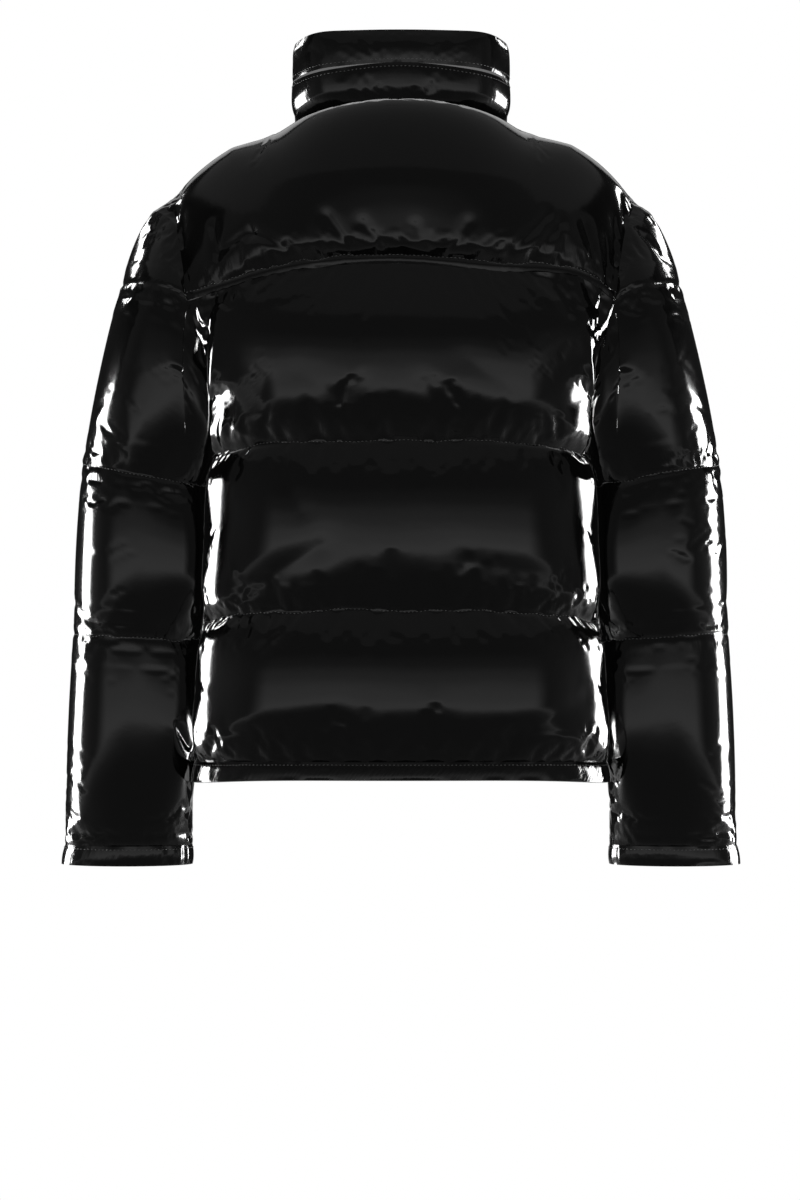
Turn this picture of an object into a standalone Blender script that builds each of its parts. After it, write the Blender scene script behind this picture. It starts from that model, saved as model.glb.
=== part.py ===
"""Puffer jacket, hollow and filled out as if worn, zipped up to the top of its stand collar.

Frame: metres, +Z up, the jacket's front faces -Y, +X is the wearer's left. The origin is the middle of the
neck at the shoulders' height, where the wearer's neck and shoulders carry the jacket.

Every cut piece is one wall over a grid of points. The grid's seams lie on the plain inside surface, the wall's
outer points rise from it as quilted puffs with puckers at their seams, and its inner points stay plain.
Grids run down in rows and left to right in columns, as seen from outside.
"""

import math

import bmesh
import bpy
from mathutils import Matrix, Vector

# Walls and seams
CLOTH = 0.003  # wall at a seam: shell, lining and the wadding that the stitches press flat
COLLAR_PAD = 0.011  # wall of the padded collar
BINDING = 0.0035  # folded band at the hem and the cuffs
SEAM_GAP = 0.0003  # between two pieces that meet at a seam
ZIP_HALF = 0.0055  # from the middle of the zip to the edge of a front
SHARP_EDGE = math.radians(50)  # faces that meet at more than this are shaded apart
CREASE = 0.5  # past this share of opposed directions, a seam lies in a sharp crease

# Puffs, as the height of their crowns over the seams
BACK_PUFF = 0.021
YOKE_PUFF = 0.022
NECK_LEAN = {"beside": 0.75, "columns": 2.7}  # how far the yoke's crown leans away from the neck
FRONT_PUFF = 0.019
CAP_PUFF = 0.008
SLEEVE_PUFF = {"inner": 0.0, "face": 0.015, "outer": 0.0025}
COLLAR_PUFF = 0.003
BAND_PUFF = 0.0012
CROWN_POWER = 2.2  # how flat a puff's crown is
SEAM_EASE = 0.055  # a puff reaches its full height this far from an armhole or a side seam
ZIP_EASE = 0.045  # and this far from the zip
PUCKER_PITCH = 0.037  # from one pucker of the quilting to the next
PUCKER_HEIGHT = 0.0024
PUCKER_REACH = 0.032  # how far a pucker runs from its seam
PUCKER_DRIFT = {"length": 0.145, "share": 0.3}  # how the pitch wanders along a seam

# Rows down one puff, as shares of its height, and columns across each piece
PUFF_ROWS = (0.0, 0.07, 0.22, 0.5, 0.78, 0.93, 1.0)
YOKE_ROWS = (0.0, 0.06, 0.16, 0.3, 0.45, 0.6, 0.74, 0.86, 0.95, 1.0)
CAP_ROWS = (0.0, 0.12, 0.34, 0.62, 0.86, 1.0)
UNDERARM_SHARE = 0.84  # where the armhole ends on the side edge of the puff below the yoke
SCYE_ROWS = (0.0, 0.06, 0.18, 0.36, 0.54, 0.7, UNDERARM_SHARE, 0.94, 1.0)
YOKE_SEAM_COLUMNS = 8
BACK_NECK_COLUMNS = 20
FRONT_NECK_COLUMNS = 5
BACK_COLUMNS = 2 * YOKE_SEAM_COLUMNS + BACK_NECK_COLUMNS
FRONT_COLUMNS = YOKE_SEAM_COLUMNS + FRONT_NECK_COLUMNS
SOFTENING_ROUNDS = 5  # how far the yoke and the chest are smoothed between their seams
BESIDE_ZIP = 3  # columns of a front that keep straight beside the zip

# The armhole seam on the wearer's left, from the end of the back yoke seam over the shoulder to the underarm
ARMHOLE = {  # point: x, y, z
    "back_corner": (0.2080, 0.088, -0.179),
    "back_blade": (0.2140, 0.075, -0.140),
    "back_shoulder": (0.2240, 0.047, -0.099),
    "shoulder": (0.2475, 0.002, -0.082),
    "front_shoulder": (0.2300, -0.044, -0.102),
    "front_corner": (0.2030, -0.086, -0.168),
    "front_scoop": (0.1890, -0.078, -0.222),
    "underarm_front": (0.1850, -0.045, -0.273),
    "underarm": (0.1880, 0.000, -0.296),
    "underarm_back": (0.1860, 0.047, -0.274),
    "back_scoop": (0.1930, 0.082, -0.228),
}
NECKLINE = {  # point on the wearer's left: x, y, z
    "nape": (0.0, 0.081, 0.0184),
    "back": (0.055, 0.069, 0.0145),
    "back_side": (0.094, 0.030, 0.0045),
    "side": (0.1035, 0.000, -0.003),
    "yoke_corner": (0.098, -0.034, -0.0135),
    "front_side": (0.067, -0.066, -0.0265),
    "front": (0.0, -0.083, -0.040),
}
COLLAR_LINE = {  # the seam between the collar's two bands
    "nape": (0.0, 0.089, 0.0535),
    "back": (0.058, 0.074, 0.050),
    "back_side": (0.0955, 0.034, 0.0425),
    "side": (0.105, 0.000, 0.036),
    "yoke_corner": (0.0995, -0.034, 0.027),
    "front_side": (0.067, -0.066, 0.013),
    "front": (0.0, -0.082, 0.002),
}
COLLAR_TOP = {
    "nape": (0.0, 0.086, 0.0865),
    "back": (0.060, 0.073, 0.0855),
    "back_side": (0.095, 0.034, 0.079),
    "side": (0.1045, 0.000, 0.070),
    "yoke_corner": (0.0985, -0.034, 0.061),
    "front_side": (0.066, -0.065, 0.049),
    "front": (0.0, -0.080, 0.041),
}
FRONT_YOKE_MIDDLE = (0.170, -0.047, -0.047)  # the seam from the armhole to the neck, in front of the shoulder
BACK_YOKE_SEAM = (  # from the wearer's left to the right, between the armholes: it hangs lower on the left
    (0.170, 0.108, -0.1690),
    (0.126, 0.123, -0.1570),
    (0.074, 0.131, -0.1495),
    (0.0, 0.134, -0.1470),
    (-0.086, 0.130, -0.1530),
    (-0.158, 0.113, -0.1550),
    (-0.186, 0.101, -0.1640),
)
FRONT_CHEST_SEAM = ((0.165, -0.100, -0.1665), (0.11, -0.113, -0.165), (0.05, -0.120, -0.164))
FRONT_CHEST_MIDDLE = (0.0, -0.122, -0.164)
FRONT_NECK_TO_CHEST = (0.0, -0.1045, -0.098)

# Level seams round the torso, each a rounded oblong
SQUARENESS = 2.35
TORSO = {  # seam: height at the middle, drop at the sides, half width, depth of the back and of the front
    "line_1": {"z": -0.3165, "drop": 0.0135, "half": 0.1900, "back": 0.130, "front": 0.124},
    "line_2": {"z": -0.4806, "drop": 0.0110, "half": 0.1965, "back": 0.127, "front": 0.128},
    "hem_line": {"z": -0.6263, "drop": 0.0040, "half": 0.2055, "back": 0.125, "front": 0.124},
    "hem_edge": {"z": -0.6433, "drop": 0.0075, "half": 0.2095, "back": 0.129, "front": 0.127},
}
DROP_POWER = 4  # how late a level seam turns down towards the sides

# The sleeve on the wearer's left
CAP_SEAM = (  # from the front corner of the armhole round the outside to the back corner
    (0.219, -0.090, -0.161),
    (0.244, -0.080, -0.157),
    (0.268, -0.047, -0.156),
    (0.2775, 0.000, -0.157),
    (0.269, 0.047, -0.158),
    (0.247, 0.080, -0.162),
    (0.224, 0.091, -0.168),
)
SLEEVE = {  # ring: middle x and y, height, rise of its outer side over its inner one, half width and depth
    "elbow": {"x": 0.2552, "y": 0.000, "z": -0.3465, "rise": 0.022, "half": 0.0624, "deep": 0.068},
    "forearm": {"x": 0.2632, "y": -0.010, "z": -0.5070, "rise": 0.007, "half": 0.0640, "deep": 0.058},
    "hem_level": {"x": 0.2722, "y": -0.024, "z": -0.6450, "rise": 0.000, "half": 0.0626, "deep": 0.046},
    "cuff_line": {"x": 0.2745, "y": -0.031, "z": -0.7160, "rise": 0.000, "half": 0.0640, "deep": 0.040},
    "cuff_edge": {"x": 0.2765, "y": -0.033, "z": -0.7360, "rise": 0.000, "half": 0.0662, "deep": 0.040},
}
SCYE_TURN = math.radians(58)  # how far round a ring the armhole's corners stand from the inner side

# Larger folds on the back of the jacket: soft troughs between two places in X and Z
FOLDS = (
    {"piece": "back_yoke", "start": (0.230, -0.100), "end": (0.196, -0.126), "width": 0.013, "depth": 0.006},
    {"piece": "back_yoke", "start": (-0.226, -0.097), "end": (-0.200, -0.118), "width": 0.012, "depth": 0.005},
    {"piece": "back_yoke", "start": (0.168, -0.130), "end": (0.085, -0.119), "width": 0.012, "depth": 0.005},
    {"piece": "back_yoke", "start": (0.050, -0.142), "end": (0.062, -0.108), "width": 0.012, "depth": 0.006},
    {"piece": "back_yoke", "start": (-0.006, -0.141), "end": (0.000, -0.103), "width": 0.012, "depth": 0.006},
    {"piece": "back_yoke", "start": (-0.058, -0.145), "end": (-0.076, -0.106), "width": 0.012, "depth": 0.005},
    {"piece": "back_yoke", "start": (-0.118, -0.148), "end": (-0.142, -0.116), "width": 0.012, "depth": 0.005},
    {"piece": "sleeve_left", "start": (0.238, -0.350), "end": (0.290, -0.396), "width": 0.016, "depth": 0.007},
    {"piece": "sleeve_left", "start": (0.222, -0.328), "end": (0.262, -0.286), "width": 0.016, "depth": 0.006},
    {"piece": "sleeve_right", "start": (-0.245, -0.352), "end": (-0.296, -0.388), "width": 0.016, "depth": 0.007},
    {"piece": "sleeve_right", "start": (-0.228, -0.326), "end": (-0.266, -0.290), "width": 0.016, "depth": 0.006},
    {"piece": "sleeve_left", "start": (0.300, -0.694), "end": (0.335, -0.676), "width": 0.013, "depth": 0.005},
    {"piece": "sleeve_right", "start": (-0.296, -0.690), "end": (-0.335, -0.664), "width": 0.013, "depth": 0.005},
)

# The zip lies in the slot between the fronts. Heights are from the fronts' plain surface.
ZIP_STRIPS = {  # strip: nearest to and farthest from the middle, outer face and inner face
    "chain": {"near": -0.0029, "far": 0.0029, "outer": -0.0027, "inner": -0.0057},
    "tape": {"near": 0.0032, "far": 0.0120, "outer": -0.0041, "inner": -0.0049},
}
TAPE_END = 0.0015  # from the collar's edge to the tape
SLIDER_DROP = 0.015  # from the collar's edge to the middle of the slider
SLIDER = {"width": 0.0092, "length": 0.0110, "wing": 0.0011, "outer": -0.0012, "inner": -0.0072}
POST = {"width": 0.0046, "length": 0.0036, "below_top": 0.0004}  # joins the wings above the chain's end
BAIL = {"width": 0.0016, "length": 0.0084, "rise": 0.0034, "wall": 0.0012}
PULL = {"width": 0.0068, "length": 0.0300, "thick": 0.0011, "bar": 0.0013, "rail": 0.0014, "eye": 0.0068}
PULL_PIVOT = 0.0012  # height of the pull's axis over the slider's outer wing

COLOURS = {  # material: colour, roughness, metallic
    "shell": ((0.006, 0.006, 0.006, 1.0), 0.16, 0.0),
    "trim": ((0.008, 0.008, 0.008, 1.0), 0.35, 0.0),
    "zip": ((0.010, 0.010, 0.010, 1.0), 0.40, 0.0),
    "metal": ((0.035, 0.035, 0.036, 1.0), 0.30, 1.0),
}


# ---- Lines


def spline(points, closed=False, steps=24):
    """A smooth dense line through the points (Catmull-Rom)."""
    points = [Vector(p) for p in points]
    count = len(points)
    line = []
    for i in range(count if closed else count - 1):
        if closed:
            p0, p1, p2, p3 = (points[(i + k) % count] for k in (-1, 0, 1, 2))
        else:
            p1, p2 = points[i], points[i + 1]
            p0 = points[i - 1] if i > 0 else 2 * p1 - p2
            p3 = points[i + 2] if i + 2 < count else 2 * p2 - p1
        for k in range(steps):
            t = k / steps
            square = (2 * p0 - 5 * p1 + 4 * p2 - p3) * t**2
            cube = (3 * p1 - p0 - 3 * p2 + p3) * t**3
            line.append(0.5 * (2 * p1 + (p2 - p0) * t + square + cube))
    line.append(points[0] if closed else points[-1])
    return line


def distances(line):
    """Length along a line to each of its points."""
    found = [0.0]
    for a, b in zip(line, line[1:]):
        found.append(found[-1] + (b - a).length)
    return found


def shares_of(line):
    lengths = distances(line)
    return [length / lengths[-1] for length in lengths]


def at_shares(line, shares):
    """Points at these shares of a line's length."""
    lengths = distances(line)
    found, i = [], 0
    for share in shares:
        aim = share * lengths[-1]
        while i < len(line) - 2 and lengths[i + 1] < aim:
            i += 1
        found.append(line[i].lerp(line[i + 1], (aim - lengths[i]) / (lengths[i + 1] - lengths[i])))
    return found


def even(count):
    return [i / count for i in range(count + 1)]


def part_of(line, start, end):
    """The stretch of a dense line between the points nearest to start and end, in that order."""
    a, b = (min(range(len(line)), key=lambda i: (line[i] - Vector(p)).length) for p in (start, end))
    return line[a : b + 1] if a < b else line[b : a + 1][::-1]


def mirrored(points):
    return [Vector((-p.x, p.y, p.z)) for p in points]


def between(start, end, shares):
    return [start.lerp(end, share) for share in shares]


# ---- Seams, on the wearer's left unless they cross the middle


def armhole_seams():
    """The armhole's four stretches, each with the samples that both of its neighbours use."""
    loop = spline(ARMHOLE.values(), closed=True)
    scye_rows = [share / UNDERARM_SHARE for share in SCYE_ROWS if share <= UNDERARM_SHARE]
    half = len(loop) // 2
    shoulder = part_of(loop[:half], ARMHOLE["back_corner"], ARMHOLE["front_shoulder"])
    chest = part_of(loop, ARMHOLE["front_shoulder"], ARMHOLE["front_corner"])
    front_scye = part_of(loop, ARMHOLE["front_corner"], ARMHOLE["underarm"])
    back_scye = part_of(loop[half:], ARMHOLE["back_corner"], ARMHOLE["underarm"])
    return {
        "shoulder": at_shares(shoulder, YOKE_ROWS),
        "chest": at_shares(chest, PUFF_ROWS),
        "front_scye": at_shares(front_scye, scye_rows),
        "back_scye": at_shares(back_scye, scye_rows),
    }


def upper_armhole(armhole):
    """The armhole's upper stretch, from its front corner over the shoulder to its back corner."""
    return armhole["chest"][::-1] + armhole["shoulder"][::-1][1:]


def cap_seam(armhole):
    """The seam between the sleeve's cap and its tube, with the same shares as the armhole above it."""
    over = upper_armhole(armhole)
    return at_shares(spline([over[0], *CAP_SEAM, over[-1]]), shares_of(over))


def neck_seam(table):
    """A collar line on the wearer's left: from the nape to the yoke's corner, and from there to the zip."""
    points = list(table.values())
    beyond_nape, beyond_front = mirrored([Vector(points[1]), Vector(points[-2])])
    line = spline([beyond_nape, *points, beyond_front])
    back = part_of(line, table["nape"], table["yoke_corner"])
    front = part_of(line, table["yoke_corner"], table["front"])
    return at_shares(back, even(BACK_NECK_COLUMNS // 2)), at_shares(front, even(FRONT_NECK_COLUMNS))


def front_yoke_seam(armhole):
    """From the armhole to the neck, in front of the shoulder."""
    line = spline([armhole["shoulder"][-1], FRONT_YOKE_MIDDLE, NECKLINE["yoke_corner"]])
    return at_shares(line, even(YOKE_SEAM_COLUMNS))


def back_yoke_seam(armhole):
    corner = armhole["shoulder"][0]
    line = spline([corner, *BACK_YOKE_SEAM, *mirrored([corner])])
    return at_shares(line, even(BACK_COLUMNS))


def chest_seam(armhole):
    line = spline([armhole["chest"][-1], *FRONT_CHEST_SEAM, FRONT_CHEST_MIDDLE])
    return at_shares(line, even(FRONT_COLUMNS))


def oblong(seam, side, turn):
    """A point of a level torso seam. The turn is 0 at the middle of the back or front."""
    row = TORSO[seam]
    power = 2 / SQUARENESS
    across = math.copysign(abs(math.sin(turn)) ** power, math.sin(turn))
    depth = max(math.cos(turn), 0.0) ** power * row[side]
    height = row["z"] - row["drop"] * abs(across) ** DROP_POWER
    return Vector((row["half"] * across, depth if side == "back" else -depth, height))


def back_section(seam):
    """A level seam across the back, from the wearer's left side to the right."""
    return [oblong(seam, "back", math.pi / 2 * (1 - 2 * share)) for share in even(BACK_COLUMNS)]


def front_section(seam):
    """A level seam across the left front, from the side to the middle."""
    return [oblong(seam, "front", math.pi / 2 * (1 - share)) for share in even(FRONT_COLUMNS)]


def sleeve_ring(name, turns):
    """A ring round the left sleeve, from its inner side round the front and the outside to the back."""
    row = SLEEVE[name]
    return [
        Vector((
            row["x"] - row["half"] * math.cos(turn),
            row["y"] - row["deep"] * math.sin(turn),
            row["z"] - row["rise"] / 2 * math.cos(turn),
        ))
        for turn in turns
    ]


# ---- Surfaces


def stretched(top, bottom, left, right):
    """Rows of points that fill four edges (a Coons patch). Left and right run from top to bottom."""
    rows = []
    for r, v in enumerate((a + b) / 2 for a, b in zip(shares_of(left), shares_of(right))):
        row = []
        for c, u in enumerate(even(len(top) - 1)):
            ruled = top[c].lerp(bottom[c], v) + left[r].lerp(right[r], u)
            row.append(ruled - top[0].lerp(top[-1], u).lerp(bottom[0].lerp(bottom[-1], u), v))
        row[0], row[-1] = left[r], right[r]
        rows.append(row)
    rows[0], rows[-1] = list(top), list(bottom)
    return rows


def softened(grid, fixed_columns=1):
    """The grid with its inner points drawn towards their neighbours, as cloth smooths a corner of its seams."""
    start = [list(row) for row in grid]
    for _ in range(SOFTENING_ROUNDS):
        old = [list(row) for row in grid]
        for r in range(1, len(grid) - 1):
            for c in range(1, len(grid[r]) - fixed_columns):
                total, weight = Vector(), 0.0
                for one, other in (((r - 1, c), (r + 1, c)), ((r, c - 1), (r, c + 1))):
                    lengths = [(start[i][k] - start[r][c]).length for i, k in (one, other)]
                    for (i, k), length in zip((one, other), lengths):
                        share = 1 / (length * sum(lengths))
                        total += old[i][k] * share
                        weight += share
                grid[r][c] = total / weight
    return grid


def normals_of(grid, ring):
    """Unit normals out of a grid. A pointed end takes them from the column beside it."""
    rows, columns = len(grid), len(grid[0])
    found = []
    for r in range(rows):
        line = []
        for c in range(columns):
            if ring:
                across = grid[r][(c + 1) % (columns - 1)] - grid[r][(c - 1) % (columns - 1)]
            else:
                across = grid[r][min(c + 1, columns - 1)] - grid[r][max(c - 1, 0)]
            column = beside(grid, c)
            down = grid[min(r + 1, rows - 1)][column] - grid[max(r - 1, 0)][column]
            line.append(down.cross(across).normalized())
        found.append(line)
    return found


def is_pointed(grid, column):
    return (grid[0][column] - grid[-1][column]).length < 1e-7


def beside(grid, column):
    """The column itself, or its neighbour where it is a pointed end."""
    if not is_pointed(grid, column):
        return column
    return 1 if column == 0 else column - 1


# ---- Puffs


def crown(share):
    """The profile of a puff from seam to seam, 0 at both and 1 in the middle."""
    return 1 - abs(2 * share - 1) ** CROWN_POWER


def ease(distance, reach):
    """0 at an edge, rising to 1 at the reach."""
    return 1 - (1 - min(max(distance, 0.0) / reach, 1.0)) ** 2


def pucker(along, off):
    """The wave that a row of stitches gathers into the cloth beside it."""
    drift = PUCKER_DRIFT["share"] * math.sin(2 * math.pi * along / PUCKER_DRIFT["length"])
    wave = math.cos(2 * math.pi * (along / PUCKER_PITCH + drift))
    return PUCKER_HEIGHT * wave * math.exp(-((off / PUCKER_REACH) ** 2))


def quilted(grid, spans, height_at):
    """Heights of the outer points. height_at takes the share down the puff, the length along the row and
    in all, the place and the pucker's height there.
    """
    heights = [[0.0] * len(grid[0]) for _ in grid]
    for first, last in spans:
        downs = [distances(column) for column in zip(*grid[first : last + 1])]
        for r in range(first + 1, last):
            along = distances(grid[r])
            for c, down in enumerate(downs):
                if down[-1] > 0:
                    share = down[r - first] / down[-1]
                    gather = pucker(along[c], min(share, 1 - share) * down[-1])
                    heights[r][c] = height_at(share, along[c], along[-1], (r, c), gather)
    return heights


def torso_puffs(grid, spans, puff, edges):
    """Puffs that fade towards the edges, and at the sides where the sleeves press on them."""
    normals = normals_of(grid, False)

    def height(share, along, total, place, gather):
        r, c = place
        faded = ease(along, edges[0]) * ease(total - along, edges[1]) * (1 - normals[r][c].x ** 2)
        return faded * (puff * crown(share) + gather)

    return quilted(grid, spans, height)


def fold_into(piece):
    """Press the larger folds into a piece's back, and leave its seams where they are."""
    for fold in (row for row in FOLDS if row["piece"] == piece.name):
        start, end = Vector(fold["start"]), Vector(fold["end"])
        line = end - start
        for first, last in piece.spans:
            for r in range(first + 1, last):
                for c in range(1, len(piece.grid[r]) - 1):
                    point = piece.grid[r][c]
                    place = Vector((point.x, point.z))
                    share = min(max((place - start).dot(line) / line.length_squared, 0.0), 1.0)
                    off = (place - start - line * share).length / fold["width"]
                    facing = max(piece.normals[r][c].y, 0.0)
                    pressed = piece.heights[r][c] - fold["depth"] * facing * math.exp(-(off**2))
                    piece.heights[r][c] = max(pressed, -CLOTH / 3)


def spans_of(*row_sets):
    """(first row, last row) of each puff down a grid."""
    spans, first = [], 0
    for rows in row_sets:
        spans.append((first, first + len(rows) - 1))
        first = spans[-1][1]
    return spans


# ---- Pieces


class Piece:
    """One cut piece: its grid, the heights of its outer points and its wall below the grid."""

    def __init__(self, name, grid, spans, heights, wall=CLOTH, ring=False, gaps=None, material="shell"):
        self.name, self.grid, self.spans, self.heights = name, grid, spans, heights
        self.ring, self.material = ring, material
        self.walls = wall if isinstance(wall, list) else [[wall] * len(row) for row in grid]
        half = SEAM_GAP / 2
        self.gaps = {"top": half, "bottom": half, "left": half, "right": half, **(gaps or {})}
        self.normals = normals_of(grid, ring)
        self.inward = self.edge_directions()
        self.shared = {}

    def edges(self):
        """Each edge: its name, its places in order and the step from a place into the piece."""
        last_row, last_column = len(self.grid) - 1, len(self.grid[0]) - 1
        yield "top", [(0, c) for c in range(last_column + 1)], (1, 0)
        yield "bottom", [(last_row, c) for c in range(last_column + 1)], (-1, 0)
        if not self.ring and not is_pointed(self.grid, 0):
            yield "left", [(r, 0) for r in range(last_row + 1)], (0, 1)
            yield "right", [(r, last_column) for r in range(last_row + 1)], (0, -1)

    def edge_directions(self):
        """For each place on an edge: the edge's name, its direction and the way into the piece."""
        found = {}
        for name, places, (down, over) in self.edges():
            for i, (r, c) in enumerate(places):
                if self.ring:
                    before, after = places[i - 1 if i else -2], places[(i + 1) % (len(places) - 1)]
                else:
                    before, after = places[max(i - 1, 0)], places[min(i + 1, len(places) - 1)]
                along = (self.grid[after[0]][after[1]] - self.grid[before[0]][before[1]]).normalized()
                into = self.normals[r][c].cross(along)
                column = beside(self.grid, c) + over
                step = self.grid[r + down][column] - self.grid[r][column - over]
                found.setdefault((r, c), []).append((name, along, into if into.dot(step) > 0 else -into))
        for c in (0, len(self.grid[0]) - 1):
            if is_pointed(self.grid, c):
                ways = found[0, c] + found[len(self.grid) - 1, c]
                found.update({(r, c): ways for r in range(len(self.grid))})
        return found


def place_key(point):
    return tuple(round(x * 1e5) for x in point)


def share_seam_normals(pieces):
    """Walls that meet at a seam end on one plane between them, also in a crease as sharp as the underarm's."""
    normals, inwards = {}, {}
    for piece in pieces:
        for (r, c), ways in piece.inward.items():
            repeated = piece.ring and c == len(piece.grid[r]) - 1 or r > 0 and is_pointed(piece.grid, c)
            if not repeated:
                key = place_key(piece.grid[r][c])
                normals[key] = normals.get(key, Vector()) + piece.normals[r][c]
                inward = sum((into for _, _, into in ways), Vector()).normalized()
                inwards[key] = inwards.get(key, Vector()) + inward
    for piece in pieces:
        for r, c in piece.inward:
            key = place_key(piece.grid[r][c])
            total, inward = normals[key].copy(), inwards[key]
            if total.dot(inward) > -CREASE * total.length * inward.length:
                total += inward
            piece.shared[r, c] = total.normalized()


def pull_in(piece, r, c):
    """How far an edge place moves back from its seams."""
    normal = piece.shared[r, c]
    moves = []
    for name, along, into in piece.inward[r, c]:
        square = normal.cross(along).normalized()
        if square.dot(into - CREASE * piece.normals[r][c]) < 0:
            square = -square
        moves.append((square, piece.gaps[name]))
    (first, gap), *rest = moves
    if not rest or abs(first.dot(rest[0][0])) > 0.99:
        return first * gap
    second, other_gap = rest[0]
    lean = first.dot(second)
    share = 1 - lean * lean
    return first * ((gap - other_gap * lean) / share) + second * ((other_gap - gap * lean) / share)


def wall_points(piece):
    """The outer and the inner points of a piece's wall."""
    outer, inner = [], []
    for r, row in enumerate(piece.grid):
        outer.append([])
        inner.append([])
        for c, point in enumerate(row):
            if (r, c) in piece.shared:
                normal, move = piece.shared[r, c], pull_in(piece, r, c)
            else:
                normal, move = piece.normals[r][c], Vector()
            outer[-1].append(point + move + normal * piece.heights[r][c])
            inner[-1].append(point + move - normal * piece.walls[r][c])
    return outer, inner


def kept_rows(spans):
    """The rows that the plain inside keeps: each puff's ends and every second row between them."""
    kept = [r for first, last in spans for r in range(first, last - 1, 2)]
    return kept + [spans[-1][1]]


def add_face(mesh, corners):
    """A face through the corners, leaving out repeats, as at a pointed end."""
    unique = [v for i, v in enumerate(corners) if v is not corners[i - 1]]
    if len(unique) >= 3 and len(unique) == len(set(unique)):
        mesh.faces.new(unique)


def add_end_faces(mesh, outer, inner, places, points):
    """The faces between the outer and inner points of one edge, split the same way on both sides of a seam."""
    for a, b in zip(places, places[1:]):
        corners = [outer[a[0]][a[1]], outer[b[0]][b[1]], inner[b[0]][b[1]], inner[a[0]][a[1]]]
        if place_key(points[a[0]][a[1]]) < place_key(points[b[0]][b[1]]):
            add_face(mesh, [corners[0], corners[1], corners[2]])
            add_face(mesh, [corners[0], corners[2], corners[3]])
        else:
            add_face(mesh, [corners[0], corners[1], corners[3]])
            add_face(mesh, [corners[1], corners[2], corners[3]])


def add_fan(mesh, edge, anchors, flipped):
    """Faces from every point of a side edge to the two points beside it."""
    middle = len(edge) // 2
    fans = [[edge[k - 1], anchors[0 if k <= middle else 1], edge[k]] for k in range(1, len(edge))]
    fans.append([edge[middle], anchors[0], anchors[1]])
    for fan in fans:
        add_face(mesh, fan[::-1] if flipped else fan)


def add_inner_faces(mesh, inner, kept, ring):
    """The plain inside, with few rows. Its side edges keep every row, so that neighbours meet face to face."""
    last = len(inner[0]) - 1
    for start, end in zip(kept, kept[1:]):
        for c in range(last):
            if c == 0 and not ring:
                edge = [inner[r][0] for r in range(start, end + 1)]
                add_fan(mesh, edge, [inner[start][1], inner[end][1]], False)
            elif c == last - 1 and not ring:
                edge = [inner[r][last] for r in range(start, end + 1)]
                add_fan(mesh, edge, [inner[start][c], inner[end][c]], True)
            else:
                add_face(mesh, [inner[start][c], inner[start][c + 1], inner[end][c + 1], inner[end][c]])


def make_wall(piece):
    """The piece's closed solid: raised outer points, plain inner points and the faces between them."""
    mesh = bmesh.new()
    made = {}

    def vertices(points):
        grid = []
        for row in points:
            keys = [tuple(round(x * 1e6) for x in point) for point in row]
            for key, point in zip(keys, row):
                if key not in made:
                    made[key] = mesh.verts.new(point)
            grid.append([made[key] for key in keys])
            if piece.ring:
                grid[-1][-1] = grid[-1][0]
        return grid

    outer_points, inner_points = wall_points(piece)
    outer, inner = vertices(outer_points), vertices(inner_points)
    for upper, lower in zip(outer, outer[1:]):
        for c in range(len(upper) - 1):
            add_face(mesh, [upper[c], lower[c], lower[c + 1], upper[c + 1]])
    add_inner_faces(mesh, inner, kept_rows(piece.spans), piece.ring)
    for _, places, _ in piece.edges():
        add_end_faces(mesh, outer, inner, places, piece.grid)
    loose = [v for v in mesh.verts if not v.link_faces]
    bmesh.ops.delete(mesh, geom=loose, context="VERTS")
    add_object(piece.name, mesh, piece.material)


def add_object(name, mesh, material):
    """An object from a bmesh, shaded smooth but for its sharp edges."""
    bmesh.ops.recalc_face_normals(mesh, faces=mesh.faces)
    data = bpy.data.meshes.new(name)
    mesh.to_mesh(data)
    mesh.free()
    data.shade_smooth()
    data.set_sharp_from_angle(angle=SHARP_EDGE)
    made = bpy.data.objects.new(name, data)
    made.data.materials.append(bpy.data.materials[material])
    bpy.context.scene.collection.objects.link(made)
    return made


def back_yoke(armhole):
    """One large puff from the back yoke seam over the shoulders, to the seams in front of them."""
    neck, _ = neck_seam(NECKLINE)
    front = front_yoke_seam(armhole)
    top = front + neck[::-1][1:] + mirrored(neck)[1:] + mirrored(front)[::-1][1:]
    left = armhole["shoulder"][::-1]
    grid = softened(stretched(top, back_yoke_seam(armhole), left, mirrored(left)))

    def height(share, along, total, place, gather):
        sides = ease(along, SEAM_EASE) * ease(total - along, SEAM_EASE)
        off_neck = max(abs(place[1] - BACK_COLUMNS / 2) - BACK_NECK_COLUMNS / 2, 0.0)
        lean = NECK_LEAN["beside"] * max(1 - off_neck / NECK_LEAN["columns"], 0.0)
        return sides * (YOKE_PUFF * crown(share ** (1 + lean)) + gather * share)

    spans = spans_of(YOKE_ROWS)
    return Piece("back_yoke", grid, spans, quilted(grid, spans, height))


def scye_and_side(scye, corner):
    """The side edge of the puff below the yoke: the lower armhole and the start of the side seam."""
    below = [s for s in SCYE_ROWS if s >= UNDERARM_SHARE]
    shares = [(s - UNDERARM_SHARE) / (1 - UNDERARM_SHARE) for s in below]
    return scye + between(scye[-1], corner, shares)[1:]


def back_panel(armhole):
    """The back below the yoke, quilted in three puffs."""
    sections = [back_section(name) for name in ("line_1", "line_2", "hem_line")]
    left = scye_and_side(armhole["back_scye"], sections[0][0])
    grid = softened(stretched(back_yoke_seam(armhole), sections[0], left, mirrored(left)))
    for above, under in zip(sections, sections[1:]):
        left = between(above[0], under[0], PUFF_ROWS)
        grid += stretched(above, under, left, mirrored(left))[1:]
    spans = spans_of(SCYE_ROWS, PUFF_ROWS, PUFF_ROWS)
    return Piece("back_panel", grid, spans, torso_puffs(grid, spans, BACK_PUFF, (SEAM_EASE, SEAM_EASE)))


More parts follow.
